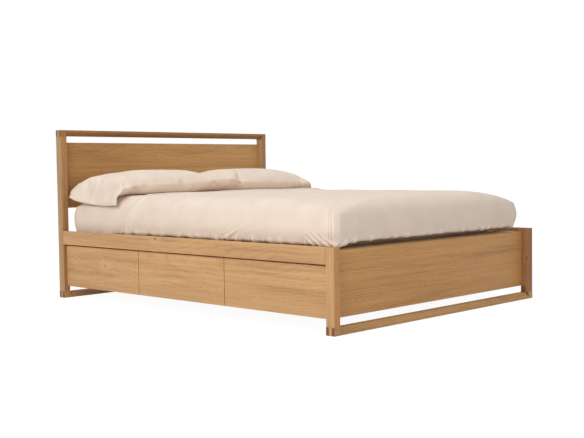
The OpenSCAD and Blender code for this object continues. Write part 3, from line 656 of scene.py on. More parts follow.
def cotton():
    """Washed cotton percale: a soft, dry cloth whose threads show only as a faint grain."""
    material, tree, shader = new_material("cotton_percale", Roughness=0.88, Sheen_Weight=0.12,
                                          Sheen_Roughness=0.5)
    cut = add(tree, "ShaderNodeUVMap", uv_map="cut")
    # Real threads are 0.3 mm apart, too fine to show, so they are drawn 1.6 mm apart
    threads = [add(tree, "ShaderNodeTexWave", bands_direction=axis,
                   links={"Vector": cut, "Scale": 200.0, "Distortion": 1.2, "Detail": 2.0}) for axis in "XY"]
    weave = add(tree, "ShaderNodeMath", {0: threads[0].outputs[1], 1: threads[1].outputs[1]},
                operation="MAXIMUM")
    place = add(tree, "ShaderNodeTexCoord").outputs["Object"]
    # The cloth's tone varies slowly, over some 100 mm
    cloud = add(tree, "ShaderNodeTexNoise", {"Vector": place, "Scale": 9.0, "Detail": 3.0})
    mix = add(tree, "ShaderNodeMath", {0: weave, 1: 0.12, 2: cloud}, operation="MULTIPLY_ADD")
    colour = add(tree, "ShaderNodeValToRGB", {0: mix}, stops=[(0.3, "E9D6C4"), (0.7, "F0DFCE")])
    tree.links.new(colour.outputs[0], shader.inputs["Base Color"])
    relief = add(tree, "ShaderNodeBump", {"Height": weave, "Strength": 0.3, "Distance": 0.3 * MM})
    tree.links.new(relief.outputs[0], shader.inputs["Normal"])
    return material


def ticking_cloth():
    """Mattress ticking: a quilted knit of pale polyester, soft and without shine."""
    material, tree, shader = new_material("knitted_ticking", Roughness=0.92)
    place = add(tree, "ShaderNodeTexCoord").outputs["Object"]
    # Quilted cells 60 mm wide
    cells = add(tree, "ShaderNodeTexVoronoi", {"Vector": place, "Scale": 1 / (60 * MM)}, feature="SMOOTH_F1")
    colour = add(tree, "ShaderNodeValToRGB", {0: cells}, stops=[(0.0, "F1ECE4"), (0.7, "E6DFD4")])
    tree.links.new(colour.outputs[0], shader.inputs["Base Color"])
    relief = add(tree, "ShaderNodeBump", {"Height": cells, "Strength": 0.4, "Distance": 3 * MM})
    tree.links.new(relief.outputs[0], shader.inputs["Normal"])
    return material


# Bedding: a mattress in a fitted sheet, a top sheet tucked in at three sides, and two pillows in their cases

BED_LOW, BED_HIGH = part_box("mattress")
HALF_W, HALF_L = BED_HIGH.x, BED_HIGH.y
TOP_Z, BOTTOM_Z = BED_HIGH.z, BED_LOW.z
EDGE_IN = 80 * MM           # width of the mattress's soft top edge
EDGE_DROP = 64 * MM         # its height
TOP_CORNER = 330 * MM       # plan radius of the corners where the top starts to fall
SIDE_CORNER = 48 * MM       # and on the sides
SIDE_BULGE = 10 * MM        # how far the sides bulge
FOOT_EDGE = 14 * MM         # radius of the bottom edge
EDGE_LIFT = 23 * MM         # how high the tucked cloth holds that edge off the slats
TUCK_IN = 0.11              # how far the cloth reaches in under the mattress
SHORT, LONG = HALF_W - EDGE_IN, HALF_L - EDGE_IN


def hump(away, width):
    """A smooth hump: 1 where away is 0, falling off over the width."""
    return np.exp(-(away / width) ** 2)


def through(way, span):
    """How far something has come through a span, from 0 to 1."""
    return np.clip(way / span, 0, 1)


def wave(points, scale, seed):
    """Smooth, repeatable noise between -1 and 1 over rows of points."""
    rng = np.random.default_rng(seed)
    total = np.zeros(len(points))
    for _ in range(9):
        direction = rng.normal(size=points.shape[1])
        direction /= np.linalg.norm(direction)
        length = scale * rng.uniform(0.6, 1.6)
        total += np.sin(points @ direction * 2 * np.pi / length + rng.uniform(0, 6.28))
    return total / 4.2


def shell_profile(rows):
    """Inset, plan corner radius and height of each row, from the top over the edge, down and under.

    rows is how many of them go over the edge, down the side, round the bottom edge and in beneath.
    """
    over, side, under, beneath = rows
    made = []
    for t in np.linspace(0, 1, over + 1)[1:]:
        drop = EDGE_DROP * (1 - (1 - t ** 1.5) ** (1 / 1.5))
        corner = SIDE_CORNER + (TOP_CORNER - SIDE_CORNER) * (1 - t) ** 0.7
        made.append((EDGE_IN * (1 - t), corner, TOP_Z - drop))
    low, high = BOTTOM_Z + EDGE_LIFT + FOOT_EDGE, TOP_Z - EDGE_DROP
    for t in np.linspace(0, 1, side + 1)[1:]:
        made.append((-SIDE_BULGE * math.sin(math.pi * t), SIDE_CORNER, high + (low - high) * t))
    for t in np.linspace(0, math.pi / 2, under + 1)[1:]:
        made.append((FOOT_EDGE * (1 - math.cos(t)), SIDE_CORNER, low - FOOT_EDGE * math.sin(t)))
    for t in np.linspace(0, 1, beneath + 1)[1:]:
        made.append((FOOT_EDGE + TUCK_IN * t, SIDE_CORNER + 0.05 * t, BOTTOM_Z + EDGE_LIFT * (1 - t * t)))
    return made


def on_outline(across, along, inset, radius):
    """Where a point of the square's edge goes on a rounded outline, and its outward direction."""
    on_long = abs(abs(across) - SHORT) < 1e-9 and abs(along) <= LONG + 1e-9
    half_in, place = (LONG, along) if on_long else (SHORT, across)
    half_out = (HALF_L if on_long else HALF_W) - inset
    straight_in, straight_out = half_in - TOP_CORNER, half_out - radius
    if abs(place) <= straight_in:
        run = abs(place)
    else:
        run = straight_in + TOP_CORNER * math.atan2(abs(place) - straight_in, TOP_CORNER)
    run *= (straight_out + radius * math.pi / 4) / (straight_in + TOP_CORNER * math.pi / 4)
    turn = max(0.0, run - straight_out) / radius
    end = min(run, straight_out) + radius * math.sin(turn)
    side = (HALF_W if on_long else HALF_L) - inset - radius + radius * math.cos(turn)
    if on_long:
        return (math.copysign(side, across), math.copysign(end, along)), \
               (math.copysign(math.cos(turn), across), math.copysign(math.sin(turn), along))
    return (math.copysign(end, across), math.copysign(side, along)), \
           (math.copysign(math.sin(turn), across), math.copysign(math.cos(turn), along))


def rounded_top(across, along):
    """Pulls the corners of the square top in to round ones."""
    over_x, over_y = abs(across) - (SHORT - TOP_CORNER), abs(along) - (LONG - TOP_CORNER)
    if over_x <= 0 or over_y <= 0:
        return across, along
    share = max(over_x, over_y) / math.hypot(over_x, over_y)
    return (math.copysign(SHORT - TOP_CORNER + over_x * share, across),
            math.copysign(LONG - TOP_CORNER + over_y * share, along))


def spaced(low, high, step, fine=()):
    """Grid lines from low to high, closer together in the stretches where the cloth folds."""
    lines = [low]
    while lines[-1] < high - 0.01 * MM:
        closer = [close for start, end, close in fine if start <= lines[-1] < end]
        lines.append(lines[-1] + min([step] + closer))
    lines = np.array(lines)
    return low + (lines - low) * (high - low) / (lines[-1] - low)


class Cover:
    """A cloth surface over the mattress: a grid on top, and rows down the sides from its edge.

    Each point keeps the side that it lies on (0 on top, 1 left, 2 foot, 3 right, 4 head, 5 beneath), its
    place along that side, its row, and its place in the flat cloth.
    """

    def __init__(self, name, step, rows, head=None, closed=False, fine_x=(), fine_y=()):
        self.name = name
        self.xs = spaced(-SHORT, SHORT, step, fine_x)
        self.ys = spaced(-LONG, LONG if head is None else head, step, fine_y)
        nx, ny = len(self.xs), len(self.ys)
        self.profile = shell_profile(rows)
        points, side, run, level, flat = [], [], [], [], []

        def put(point, where, s, row, cut):
            points.append(point)
            side.append(where)
            run.append(s)
            level.append(row)
            flat.append(cut)
            return len(points) - 1

        grid = [[put((*rounded_top(x, y), TOP_Z), 0, 0, -1, (x, y)) for x in self.xs] for y in self.ys]
        # Edge columns: down the left side, across the foot, up the right side, and back across the head
        edge = [(grid[j][0], 1, self.xs[0], self.ys[j]) for j in range(ny - 1, -1, -1)]
        edge += [(grid[0][i], 2, self.xs[i], self.ys[0]) for i in range(nx)]
        edge += [(grid[j][-1], 3, self.xs[-1], self.ys[j]) for j in range(ny)]
        if head is None:
            edge += [(grid[-1][i], 4, self.xs[i], self.ys[-1]) for i in range(nx - 1, -1, -1)]
        self.faces = [(grid[j][i], grid[j][i + 1], grid[j + 1][i + 1], grid[j + 1][i])
                      for j in range(ny - 1) for i in range(nx - 1)]
        columns = {}
        spans = [0.0]
        previous = (EDGE_IN, TOP_Z)
        for inset, _, z in self.profile:
            spans.append(spans[-1] + math.hypot(previous[0] - inset, previous[1] - z))
            previous = (inset, z)
        before = None
        for vertex, where, x, y in edge:
            if vertex not in columns:
                chain = [vertex]
                for row, (inset, radius, z) in enumerate(self.profile):
                    (px, py), (ox, oy) = on_outline(x, y, inset, radius)
                    cut = (x + ox * spans[row + 1], y + oy * spans[row + 1])
                    chain.append(put((px, py, z), where, py if where in (1, 3) else px, row, cut))
                columns[vertex] = chain
            chain = columns[vertex]
            if before is not None and before != vertex:
                left, right = columns[before], chain
                for row in range(len(self.profile)):
                    self.faces.append((left[row], left[row + 1], right[row + 1], right[row]))
            before = vertex
        if closed:
            # The underside repeats the top's grid, joined to the lowest row
            low = {v: columns[v][-1] for v in columns}
            tuck = FOOT_EDGE + TUCK_IN
            for j in range(ny):
                for i in range(nx):
                    if grid[j][i] not in low:
                        x, y = rounded_top(self.xs[i], self.ys[j])
                        x, y = x * (HALF_W - tuck) / SHORT, y * (HALF_L - tuck) / LONG
                        low[grid[j][i]] = put((x, y, BOTTOM_Z), 5, 0, len(self.profile), (x, y))
            for face in self.faces[:(nx - 1) * (ny - 1)]:
                self.faces.append(tuple(low[v] for v in face[::-1]))
        self.points = np.array(points)
        self.side = np.array(side)
        self.run = np.array(run)
        self.level = np.array(level)
        self.flat = np.array(flat)
        self.columns = columns
        self.grid = grid

    def outward(self):
        """Vertex normals of the surface as it is now."""
        normals = np.zeros_like(self.points)
        faces = np.array(self.faces)
        p = self.points
        n = np.cross(p[faces[:, 2]] - p[faces[:, 0]], p[faces[:, 3]] - p[faces[:, 1]])
        for k in range(4):
            np.add.at(normals, faces[:, k], n)
        return normals / np.maximum(np.linalg.norm(normals, axis=1, keepdims=True), 1e-12)

    def turn_hem(self, fall=5 * MM, width=16 * MM):
        """Turns the edge at the head end down to the cloth below, and back underneath, as the last change."""
        left, right = self.columns[self.grid[-1][0]], self.columns[self.grid[-1][-1]]
        edge = left[:0:-1] + self.grid[-1] + right[1:]
        out = self.outward()[edge]
        start = self.points[edge]
        rows = [edge]
        for down, back in ((0.35, -0.8 * MM), (1.0, 0.0), (1.0, width)):
            first = len(self.points)
            more = start - out * fall * down
            more[:, 1] -= back
            self.points = np.concatenate([self.points, more])
            flat = self.flat[edge] + (0, 2 * MM * len(rows))
            self.flat = np.concatenate([self.flat, flat])
            rows.append(list(range(first, first + len(edge))))
        for near, far in zip(rows, rows[1:]):
            for a in range(len(edge) - 1):
                self.faces.append((near[a], near[a + 1], far[a + 1], far[a]))

    def mesh_object(self, material):
        """The cover as an object, with its flat cut as its UV map."""
        mesh = bpy.data.meshes.new(self.name)
        mesh.from_pydata(self.points.tolist(), [], self.faces)
        layer = mesh.uv_layers.new(name="cut")
        index = np.zeros(len(mesh.loops), np.int32)
        mesh.loops.foreach_get("vertex_index", index)
        layer.data.foreach_set("uv", self.flat[index].astype(np.float32).ravel())
        mesh.polygons.foreach_set("use_smooth", [True] * len(mesh.polygons))
        mesh.materials.append(material)
        return placed(self.name, mesh)


def crease(d):
    """Section of a pulled fold: a sharp crest between two hollows, the deeper one below it."""
    return np.exp(-np.abs(d) ** 1.6) - 0.55 * hump(d - 1.5, 0.75) - 0.3 * hump(d + 1.6, 0.9)


def round_corner(cover):
    """How far each point lies round the left foot corner, from its diagonal, towards the foot side."""
    x = cover.points[:, 0] + HALF_W - SIDE_CORNER
    y = cover.points[:, 1] + HALF_L - SIDE_CORNER
    turn = np.arctan2(np.maximum(-y, 0), np.maximum(-x, 1e-6))
    half = SIDE_CORNER * math.pi / 4
    return np.where(y > 0, -half - y, np.where(x > 0, half + x, SIDE_CORNER * turn - half))


def fold_in(cover, outward, folds):
    """How far folds push the sides out. Each: side, start along it and height, end likewise, width, depth."""
    move = np.zeros(len(cover.points))
    for where, s0, z0, s1, z1, width, proud in folds:
        mine = cover.side == where
        spot = np.stack([cover.run[mine], cover.points[mine][:, 2]], 1)
        along = np.array([s1 - s0, z1 - z0])
        length = np.linalg.norm(along)
        along /= length
        away = spot - (s0, z0)
        t = away @ along / length
        d = (away @ np.array([-along[1], along[0]])) / width
        ends = np.clip(t + 0.25, 0, 1) / 0.25
        taper = np.clip(np.minimum(1, ends) * (1.05 - t), 0, 1) * (t > -0.25)
        taper = taper * taper * (3 - 2 * taper)
        move[mine] += proud * crease(d) * taper
    return outward * move[:, None]


def gathers(rng, where, low, high, spacing, lean, proud=2.2 * MM):
    """Small folds that rise from the tucked edge of a side."""
    made, s = [], low
    while s < high:
        rise = rng.uniform(0.018, 0.062)
        slant = lean + rng.normal(0, 0.45)
        z = BOTTOM_Z + rng.uniform(0.008, 0.02)
        made.append((where, s, z, s + slant * rise, z + rise,
                     rng.uniform(6, 11) * MM, proud * rng.uniform(0.4, 1.3)))
        s += spacing * rng.uniform(0.4, 1.6)
    return made


def crown(points):
    """How much the filling lifts the middle of the bed's top."""
    across = np.clip(1 - (points[:, 0] / SHORT) ** 2, 0, 1)
    along = np.clip(1 - (points[:, 1] / LONG) ** 2, 0, 1)
    return 5 * MM * (across * along) ** 0.6


def settle(cover, offset, folds, seed, free=None):
    """Gives a cover its crown, its soft unevenness and its folds, offset outside the mattress.

    Where free, if given, is false the cover stays even, because another lies over it.
    """
    p = cover.points
    out = cover.outward()
    top = cover.side == 0
    z = p[:, 2]
    lift = np.where(top, crown(p), 0)
    height = np.clip((z - BOTTOM_Z) / (TOP_Z - BOTTOM_Z), 0, 1)
    broad = wave(cover.flat, 0.42, seed) * 1.6 * MM
    fine = wave(cover.flat, 0.11, seed + 1) * 0.5 * MM
    # Just above the slats the cloth bunches where it is tucked in
    strips = np.stack([cover.run, z * 0.35], 1)
    tuck = hump(z - BOTTOM_Z - EDGE_LIFT - 0.008, 0.013) * (cover.side > 0)
    bunch = np.clip(wave(strips, 0.075, seed + 2) + 0.25, 0, 1.5) * 7 + wave(strips, 0.022, seed + 3) * 1.6
    bunch = bunch * MM * tuck
    share = np.where(cover.level > len(cover.profile) - 6, 0.0, 1.0)
    move = offset + (broad + fine) * share * np.where(top, 1.0, 0.35 + height) + bunch
    if free is not None:
        move = np.where(free(p), move, offset)
    cover.points = p + out * move[:, None] + np.array([0, 0, 1.0]) * lift[:, None]
    cover.points += fold_in(cover, out, folds)


def lift_at_foot(cover):
    """From the left foot corner on, the bedding's lower edge lifts a little behind the foot panel."""
    z = cover.points[:, 2]
    low = through(0.46 - z, 0.06) * through(z - BOTTOM_Z - 2 * MM, 12 * MM)
    cover.points[:, 2] += 12 * MM * low * through(cover.points[:, 0] + 0.70, 0.10) * (cover.side == 2)


linen = cotton()
ticking = ticking_cloth()

# The core lies 10 mm inside, and leaves room for its sheets
core = Cover("mattress_core", 40 * MM, (6, 6, 3, 2), closed=True)
core.points = core.points - core.outward() * 10 * MM
lift_at_foot(core)
core_piece = core.mesh_object(ticking)
core_piece.modifiers.new("round", "SUBSURF").levels = 1
core_piece.modifiers["round"].render_levels = 1
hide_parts("mattress")

HEM_Y = 0.405               # where the top sheet's hem lies
HEM_SLANT = 0.35            # how far it runs towards the head for each metre that it falls
HEM_WIDE = 22 * MM
fitted = Cover("fitted_sheet", 14 * MM, (7, 16, 4, 5), fine_y=[(HEM_Y - 0.01, HEM_Y + 0.09, 3 * MM)])
rng = np.random.default_rng(4)
fitted_folds = gathers(rng, 1, 0.50, 0.99, 0.018, -0.5)
fitted_folds += gathers(rng, 4, -0.7, 0.7, 0.03, 0.2)
fitted_folds += gathers(rng, 3, 0.50, 0.99, 0.02, 0.4)
settle(fitted, 1.5 * MM, fitted_folds, 11, free=lambda p: p[:, 1] > 0.5)
# The top sheet's taut hem presses a crease into the sides
beside = fitted.points[:, 1] - HEM_Y - HEM_SLANT * (TOP_Z - fitted.points[:, 2]) - 4 * MM
on_sides = np.isin(fitted.side, (1, 3))
pressed = 9 * MM * hump(beside, 0.0034) * on_sides * through(TOP_Z - fitted.points[:, 2], 0.05)
fitted.points -= fitted.outward() * pressed[:, None]
# Towards the head its lower edge is pulled further down
low_edge = through(0.47 - fitted.points[:, 2], 0.06) * through(fitted.points[:, 1] - 0.42, 0.3)
low_edge = low_edge * (fitted.side > 0)
fitted.points[:, 2] -= (fitted.points[:, 2] - BOTTOM_Z) * 0.6 * low_edge
lift_at_foot(fitted)
fitted_piece = fitted.mesh_object(linen)

top = Cover("top_sheet", 9 * MM, (8, 32, 7, 5), head=HEM_Y,
            fine_x=[(-SHORT, -0.70, 2 * MM), (-0.70, -0.62, 3 * MM), (-0.62, -0.48, 5 * MM)],
            fine_y=[(-LONG, -0.95, 2 * MM), (-0.95, -0.70, 4 * MM), (-0.55, -0.20, 4 * MM),
                    (HEM_Y - 0.035, HEM_Y, 2.5 * MM)])
rng = np.random.default_rng(9)
# The folds of the tucked corner: side, start along it and its height, end likewise, width and depth
top_folds = [
    (1, -0.262, 0.388, -0.510, 0.487, 8 * MM, 4.6 * MM),
    (1, -0.305, 0.390, -0.480, 0.500, 6 * MM, 3.0 * MM),
    (1, -0.375, 0.392, -0.470, 0.495, 6 * MM, 3.4 * MM),
    (1, -0.235, 0.388, -0.330, 0.450, 7 * MM, 3.0 * MM),
    (1, -0.978, 0.392, -0.882, 0.455, 7 * MM, 6.0 * MM),
    (1, -0.930, 0.390, -0.845, 0.458, 7 * MM, 5.0 * MM),
    (1, -0.950, 0.392, -0.900, 0.452, 5 * MM, 4.0 * MM),
    (1, -1.000, 0.396, -0.925, 0.456, 7 * MM, 5.0 * MM),
    (1, -0.890, 0.390, -0.820, 0.440, 6 * MM, 3.6 * MM),
    (1, 0.300, 0.390, 0.250, 0.430, 7 * MM, 2.8 * MM),
    (1, 0.070, 0.388, 0.010, 0.416, 7 * MM, 2.8 * MM),
    (2, -0.748, 0.388, -0.705, 0.425, 6 * MM, 4.6 * MM),
    (2, -0.715, 0.388, -0.650, 0.430, 7 * MM, 3.4 * MM),
]
top_folds += gathers(rng, 1, -0.98, 0.44, 0.045, -0.9, 1.8 * MM)
top_folds += gathers(rng, 2, -0.74, 0.74, 0.06, -0.4, 1.6 * MM)
top_folds += gathers(rng, 3, -0.98, 0.44, 0.05, 0.7, 1.8 * MM)
# Two pleats stand in the left foot corner, and the cloth bunches under them
around, height = round_corner(top), top.points[:, 2]
top_out = top.outward()
upright = through(height - 0.40, 0.03) * through(0.585 - height, 0.03) * (top.side > 0)
groove = -13 * hump(around + 14 * MM, 2.4 * MM) - 11 * hump(around + 5 * MM, 2.4 * MM)
groove += 3 * hump(around + 9 * MM, 2.4 * MM) + 1.6 * hump(around - 2 * MM, 5 * MM)
bundle = 10 * hump(around - 14 * MM, 40 * MM) * hump(height - 0.392, 0.014) * (top.side > 0)
settle(top, 5 * MM, top_folds, 23)
top.points = top.points + top_out * (groove * upright + bundle)[:, None] * MM
# The hem stands proud, with a dip along its seam, and slants towards the pillows down the sides
slant = HEM_SLANT * (TOP_Z - top.points[:, 2]) * through(top.points[:, 1] - 0.05, 0.355) ** 2
from_hem = HEM_Y - top.points[:, 1]
proud = 4.5 * (1 - through(from_hem, 0.05)) + 4.5 * hump(from_hem, 0.009)
proud -= 3.2 * hump(from_hem - HEM_WIDE, 0.0035)
top.points += top_out * (proud * MM)[:, None]
top.points[:, 1] += np.where(np.isin(top.side, (1, 3)), slant, 0)
lift_at_foot(top)
top.turn_hem()
top_piece = top.mesh_object(linen)


def seam(name, path):
    """A stitched seam along a row of points."""
    mesh = bpy.data.meshes.new(f"{name}_path")
    mesh.from_pydata([tuple(p) for p in path], [(i, i + 1) for i in range(len(path) - 1)], [])
    piece = grown(name, seam_stitches, mesh, Pitch=5.5 * MM, Long=3.6 * MM, Thick=1.2 * MM, Finish=thread)
    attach(piece, "bed")
    return piece


# Real stitching in thread darker than the cloth, so that it also paints the hem's shadow line, drawn 1.2 mm
# thick so that it shows
thread, _, _ = new_material("cotton_thread_painted_shade", Base_Color=linear("8C7862"), Roughness=0.8)
seam_stitches = stitch_tree()
row = int(np.argmin(np.abs(top.ys - (HEM_Y - HEM_WIDE))))
hem_line = top.columns[top.grid[row][0]][:0:-1] + top.grid[row] + top.columns[top.grid[row][-1]][1:]
hem_stitches = seam("top_sheet_stitches", (top.points + top.outward() * 0.3 * MM)[hem_line])

for piece in (core_piece, fitted_piece, top_piece):
    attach(piece, "bed")

# Pillows: each case is sewn flat, blown up by its filling and dropped on the bed by cloth simulation

STEP = 13 * MM
FILL_LONG, CASE_LONG, CASE_DEEP = 60 * STEP, 67 * STEP, 38 * STEP
HEM_STEPS = 3               # rows of the hem that is turned inside at the mouth
FILL_PRESSURE = 5.5
FRAMES = 47                 # length of the simulation
PILLOW_LOW, PILLOW_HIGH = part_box("pillow_left")
PILLOW_Y = (PILLOW_LOW.y + PILLOW_HIGH.y) / 2 + 3 * MM
# Shapes given after the simulation, each as places and values between which it runs evenly.
# How high the ridge of a pillow stands, from the middle of the bed out to its side
CROWN = ((0.0, 0.03, 0.09, 0.14, 0.20, 0.30, 0.50, 0.56, 0.64, 0.70, 0.75, 0.80),
         (0.650, 0.662, 0.705, 0.728, 0.737, 0.740, 0.740, 0.734, 0.720, 0.703, 0.678, 0.640))
# Height added to its outer end, how the flap's hem rises towards the head, and how its front edge leans
FULLNESS = ((0.45, 0.5, 0.575, 0.647, 0.682, 0.717, 0.75), (0, 0.006, 0.012, 0.018, 0.014, 0.008, 0))
FLAP_RISE = ((0.54, 0.62, 0.75, 0.85, 0.95, 1.01), (-0.006, 0, 0.014, 0.026, 0.034, 0.05))
FLAP_LEAN = ((0.545, 0.6, 0.64, 0.685), (0.03, -0.004, -0.036, 0))


class Case:
    """A pillow case as sewn: two layers round the filling, and past it a flap that is simulated as one.

    It has n steps along it, k of them round the filling, and m across. upper and lower say which point
    lies where on each layer.
    """

    def __init__(self):
        n, m, k = round(CASE_LONG / STEP), round(CASE_DEEP / STEP), round(FILL_LONG / STEP)
        self.n, self.m, self.k = n, m, k
        self.spots = []
        self.upper = np.zeros((n + 1, m + 1), int)
        self.lower = np.zeros((k + 1, m + 1), int)
        for i in range(n + 1):
            for j in range(m + 1):
                self.upper[i, j] = self.put(i, j, 1)
        for i in range(k + 1):
            for j in range(m + 1):
                sewn = i in (0, k) or j in (0, m)
                self.lower[i, j] = self.upper[i, j] if sewn else self.put(i, j, -1)
        u, w = self.upper, self.lower
        self.faces = [(u[i, j], u[i + 1, j], u[i + 1, j + 1], u[i, j + 1])
                      for i in range(n) for j in range(m)]
        self.faces += [(w[i, j], w[i, j + 1], w[i + 1, j + 1], w[i + 1, j])
                       for i in range(k) for j in range(m)]
        self.filled = sorted({int(v) for v in w.ravel()} | {int(v) for v in u[:k + 1].ravel()})

    def put(self, i, j, sign):
        """Adds a point, which lies the further from the middle layer the further it is from a seam."""
        inner = min(i, self.k - i, j, self.m - j) if i < self.k else 0
        self.spots.append((i * STEP, (j - self.m / 2) * STEP, sign * 12 * MM * min(1, inner / 3)))
        return len(self.spots) - 1


def collider():
    """A plain copy of the made bed's surface, for the pillows to fall on."""
    plain = Cover("plain_bed", 45 * MM, (6, 6, 2, 1))
    lift = np.where(plain.side == 0, crown(plain.points), 0)
    plain.points += plain.outward() * 1 * MM + np.outer(lift, (0, 0, 1))
    obj = plain.mesh_object(linen)
    obj.modifiers.new("hit", "COLLISION")
    obj.collision.thickness_outer = 2 * MM
    obj.collision.cloth_friction = 20
    return obj


def blown_up(case, sign, seed):
    """Where the points of one case come to rest on the bed, by cloth simulation from its flat cut."""
    spots = np.array(case.spots)
    rng = np.random.default_rng(seed)
    x, y = spots[:, 0], spots[:, 1]
    height = TOP_Z + 0.075 + spots[:, 2] + 1 * MM * rng.normal(size=len(spots))
    start = np.stack([sign * (12 * MM + x), PILLOW_Y + y, height], 1)
    mesh = bpy.data.meshes.new("flat_case")
    mesh.from_pydata(start.tolist(), [], [face[::sign] for face in case.faces])
    obj = placed("flat_case", mesh)
    obj.vertex_groups.new(name="filling").add(case.filled, 1.0, "REPLACE")
    cloth = obj.modifiers.new("cloth", "CLOTH")
    cloth.settings.quality = 7
    cloth.settings.mass = 0.12
    cloth.settings.tension_stiffness = cloth.settings.compression_stiffness = 30
    cloth.settings.shear_stiffness = 12
    cloth.settings.bending_stiffness = 0.4
    cloth.settings.air_damping = 2.0
    cloth.settings.use_pressure = True
    cloth.settings.uniform_pressure_force = FILL_PRESSURE
    cloth.settings.vertex_group_pressure = "filling"
    cloth.settings.effector_weights.gravity = 0.25
    cloth.collision_settings.distance_min = 3 * MM
    cloth.collision_settings.collision_quality = 3
    cloth.point_cache.frame_end = 60
    for number in range(1, FRAMES + 1):
        bpy.context.scene.frame_set(number)
    shaped = obj.evaluated_get(bpy.context.evaluated_depsgraph_get())
    points = np.array([v.co for v in shaped.data.vertices])
    bpy.data.objects.remove(obj)
    return points


def smooth_line(values, passes=6):
    """Evens out a row of numbers, whose ends stay."""
    values = values.copy()
    for _ in range(passes):
        values[1:-1] = values[1:-1] * 0.5 + (values[:-2] + values[2:]) * 0.25
    return values


def smoothed(grid, rows, passes):
    """Evens out some rows of a grid of points."""
    for _ in range(passes):
        for i in rows:
            grid[i] = grid[i] * 0.5 + (grid[i - 1] + grid[i + 1]) * 0.25
    return grid


def set_by_hand(case, points, sign, fuller):
    """Shapes a simulated case to the height and hang of a well used pillow, and returns it evened out.

    fuller is how much of the outer end's added shape it gets.
    """
    n, m, k = case.n, case.m, case.k
    base = TOP_Z + 8 * MM
    reach = np.abs(points[:, 0])
    rows = np.zeros(len(points), int)
    rows[case.lower] = np.arange(k + 1)[:, None]
    rows[case.upper] = np.arange(n + 1)[:, None]
    # The filling settles to the pillow's own height, fullest in the middle of its length
    ridge = points[case.upper].max(axis=1)[:, 2]
    wanted = np.interp(np.abs(points[case.upper][:, m // 2, 0]), *CROWN)
    gain = np.clip((wanted - base) / np.maximum(ridge - base, 5 * MM), 0.55, 1.12)
    gain[k + 2:] = 1.0
    raised = base + (points[:, 2] - base) * smooth_line(gain)[rows]
    points[:, 2] = np.where(points[:, 2] > base, raised, points[:, 2])
    # The flap lifts a little at its head end, fills out over the sheet's edge and hangs back in front
    away = through(rows - k, n - k)
    points[:, 2] += 0.010 * through(reach - 0.715, 0.04) * through(points[:, 1] - 0.86, 0.15) ** 1.5
    skyline = reach + 0.686 * (points[:, 1] - 1.005)
    points[:, 2] += fuller * np.interp(skyline, *FULLNESS) * (points[:, 2] > base + 0.01)
    points[:, 2] += fuller * np.interp(points[:, 1], *FLAP_RISE) * away ** 2
    front = through(reach - 0.64, 0.06) * through(0.74 - points[:, 1], 0.14)
    points[:, 2] -= 0.016 * front * through(reach - 0.68, 0.05) * (points[:, 2] > base + 0.01)
    points[:, 1] += np.interp(points[:, 2], *FLAP_LEAN) * front
    points[:, 0] += sign * 14 * MM * away
    # The front curves in under itself down to the sheet
    under = through(base + 0.06 - points[:, 2], 0.06) ** 2 * through(0.68 - points[:, 1], 0.14)
    points[:, 1] += 0.034 * under * (1 - away) * (points[:, 2] > base - 0.03)
    points[:, 2] -= 2 * MM * through(base + 0.03 - points[:, 2], 0.03)
    upper = points[case.upper]
    lower = np.concatenate([points[case.lower], upper[k + 1:]])
    seam_rows = range(k - 2, k + 3)
    return smoothed(upper, seam_rows, 3), smoothed(lower, seam_rows, 3)


def two_layers(upper, lower, sewn):
    """Points of two layers, which share those of their inner end and of their sides up to a row."""
    vertices, index = [], {}
    count, width = upper.shape[:2]
    for layer, grid in (("upper", upper), ("lower", lower)):
        for a in range(count):
            for b in range(width):
                if layer == "lower" and (a == 0 or b in (0, width - 1) and a <= sewn):
                    index[layer, a, b] = index["upper", a, b]
                else:
                    index[layer, a, b] = len(vertices)
                    vertices.append(tuple(grid[a, b]))
    return vertices, index


def cell(index, layer, a, b):
    """The corners of one cell of a layer."""
    return index[layer, a, b], index[layer, a + 1, b], index[layer, a + 1, b + 1], index[layer, a, b + 1]


def case_piece(name, sign, upper, lower, sewn):
    """The case's cloth, with its flat cut as its UV map."""
    vertices, index = two_layers(upper, lower, sewn)
    faces = []
    for a in range(upper.shape[0] - 1):
        for b in range(upper.shape[1] - 1):
            for layer, order in (("upper", sign), ("lower", -sign)):
                faces.append(cell(index, layer, a, b)[::order])
    mesh = bpy.data.meshes.new(name)
    mesh.from_pydata(vertices, [], faces)
    flat = np.zeros((len(vertices), 2))
    for (layer, a, b), number in index.items():
        flat[number] = (a * STEP, b * STEP if layer == "upper" else CASE_DEEP * 2 - b * STEP)
    uv_map = mesh.uv_layers.new(name="cut")
    loops = np.zeros(len(mesh.loops), np.int32)
    mesh.loops.foreach_get("vertex_index", loops)
    uv_map.data.foreach_set("uv", flat[loops].astype(np.float32).ravel())
    mesh.polygons.foreach_set("use_smooth", [True] * len(mesh.polygons))
    mesh.materials.append(linen)
    piece = placed(name, mesh)
    round_off = piece.modifiers.new("round", "SUBSURF")
    round_off.levels = round_off.render_levels = 1
    return piece


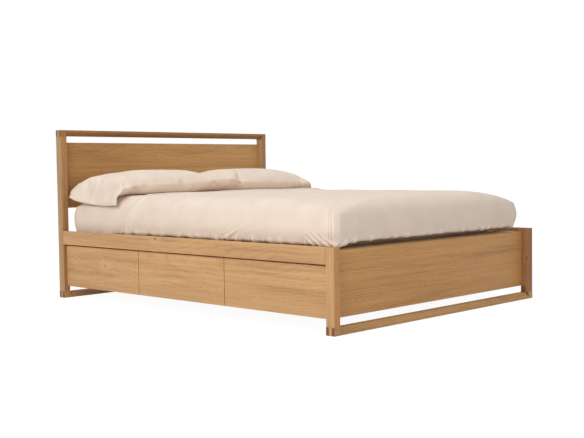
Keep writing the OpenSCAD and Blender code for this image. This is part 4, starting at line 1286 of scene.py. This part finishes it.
def filling_piece(name, sign, upper, lower):
    """The filling: the case's form up to where the flap starts, 3 mm smaller all round and closed there."""
    vertices, index = two_layers(upper, lower, len(upper))
    last = len(upper) - 1
    faces = []
    for b in range(upper.shape[1] - 1):
        for layer, order in (("upper", sign), ("lower", -sign)):
            faces += [cell(index, layer, a, b)[::order] for a in range(last)]
        end = [index["upper", last, b], index["lower", last, b],
               index["lower", last, b + 1], index["upper", last, b + 1]]
        faces.append(tuple(dict.fromkeys(end))[::sign])
    mesh = bpy.data.meshes.new(name)
    mesh.from_pydata(vertices, [], faces)
    bm = bmesh.new()
    bm.from_mesh(mesh)
    bmesh.ops.recalc_face_normals(bm, faces=bm.faces)
    bm.normal_update()
    for vertex in bm.verts:
        vertex.co -= vertex.normal * 3 * MM
    bmesh.ops.smooth_vert(bm, verts=bm.verts, factor=0.5, use_axis_x=True, use_axis_y=True, use_axis_z=True)
    bm.to_mesh(mesh)
    bm.free()
    mesh.polygons.foreach_set("use_smooth", [True] * len(mesh.polygons))
    mesh.materials.append(ticking)
    return placed(name, mesh)


def cased_pillow(side, seed, fuller):
    """One pillow: its case with an open, hemmed mouth, and the filling inside."""
    sign = -1 if side == "left" else 1
    case = Case()
    n, m, k = case.n, case.m, case.k
    upper, lower = set_by_hand(case, blown_up(case, sign, seed), sign, fuller)

    # Past the filling the two layers part, and their mouth stays a little open
    along, across = np.gradient(upper, axis=0), np.gradient(upper, axis=1)
    normal = np.cross(along, across) * sign
    normal /= np.linalg.norm(normal, axis=2, keepdims=True)
    i = np.arange(n + 1)[:, None]
    j = np.arange(m + 1)[None, :]
    middle = np.sin(np.pi * j / m) ** 0.7
    rng = np.random.default_rng(seed)
    slack = 1 + 0.5 * np.sin(j / m * 9 + rng.uniform(0, 6))
    part = np.clip((i - k + 2) / (n - k + 2), 0, 1) * middle * slack * 3.2 * MM
    upper = upper + normal * part[:, :, None]
    lower = lower - normal * part[:, :, None]

    # Each layer's hem is turned to the inside at the mouth, and isn't sewn to the other's at the sides
    inward = normal * 0.9 * MM * middle[:, :, None]
    back = 1 * MM * (along[n] / np.linalg.norm(along[n], axis=1, keepdims=True))
    hemmed = []
    for grid, way in ((upper, -1), (lower, 1)):
        hem = [grid[n - a] + way * inward[n - a] - (back if a == 0 else 0) for a in range(HEM_STEPS)]
        hemmed.append(np.concatenate([grid, hem]))
    piece = case_piece(f"pillow_case_{side}", sign, *hemmed, sewn=n)

    filling = filling_piece(f"pillow_filling_{side}", sign, upper[:k], lower[:k])
    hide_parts(f"pillow_{side}")
    thread_out = normal[n - 1] * 0.4 * MM
    mouth = np.concatenate([upper[n - 1] + thread_out, (lower[n - 1] - thread_out)[::-1]])
    stitches = seam(f"pillow_case_{side}_stitches", mouth)
    for soft in (filling, piece):
        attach(soft, "bed")


bed_form = collider()
cased_pillow("left", seed=3, fuller=1.0)
cased_pillow("right", seed=8, fuller=0.2)
bpy.data.objects.remove(bed_form)
bpy.context.scene.frame_set(1)

low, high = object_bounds()
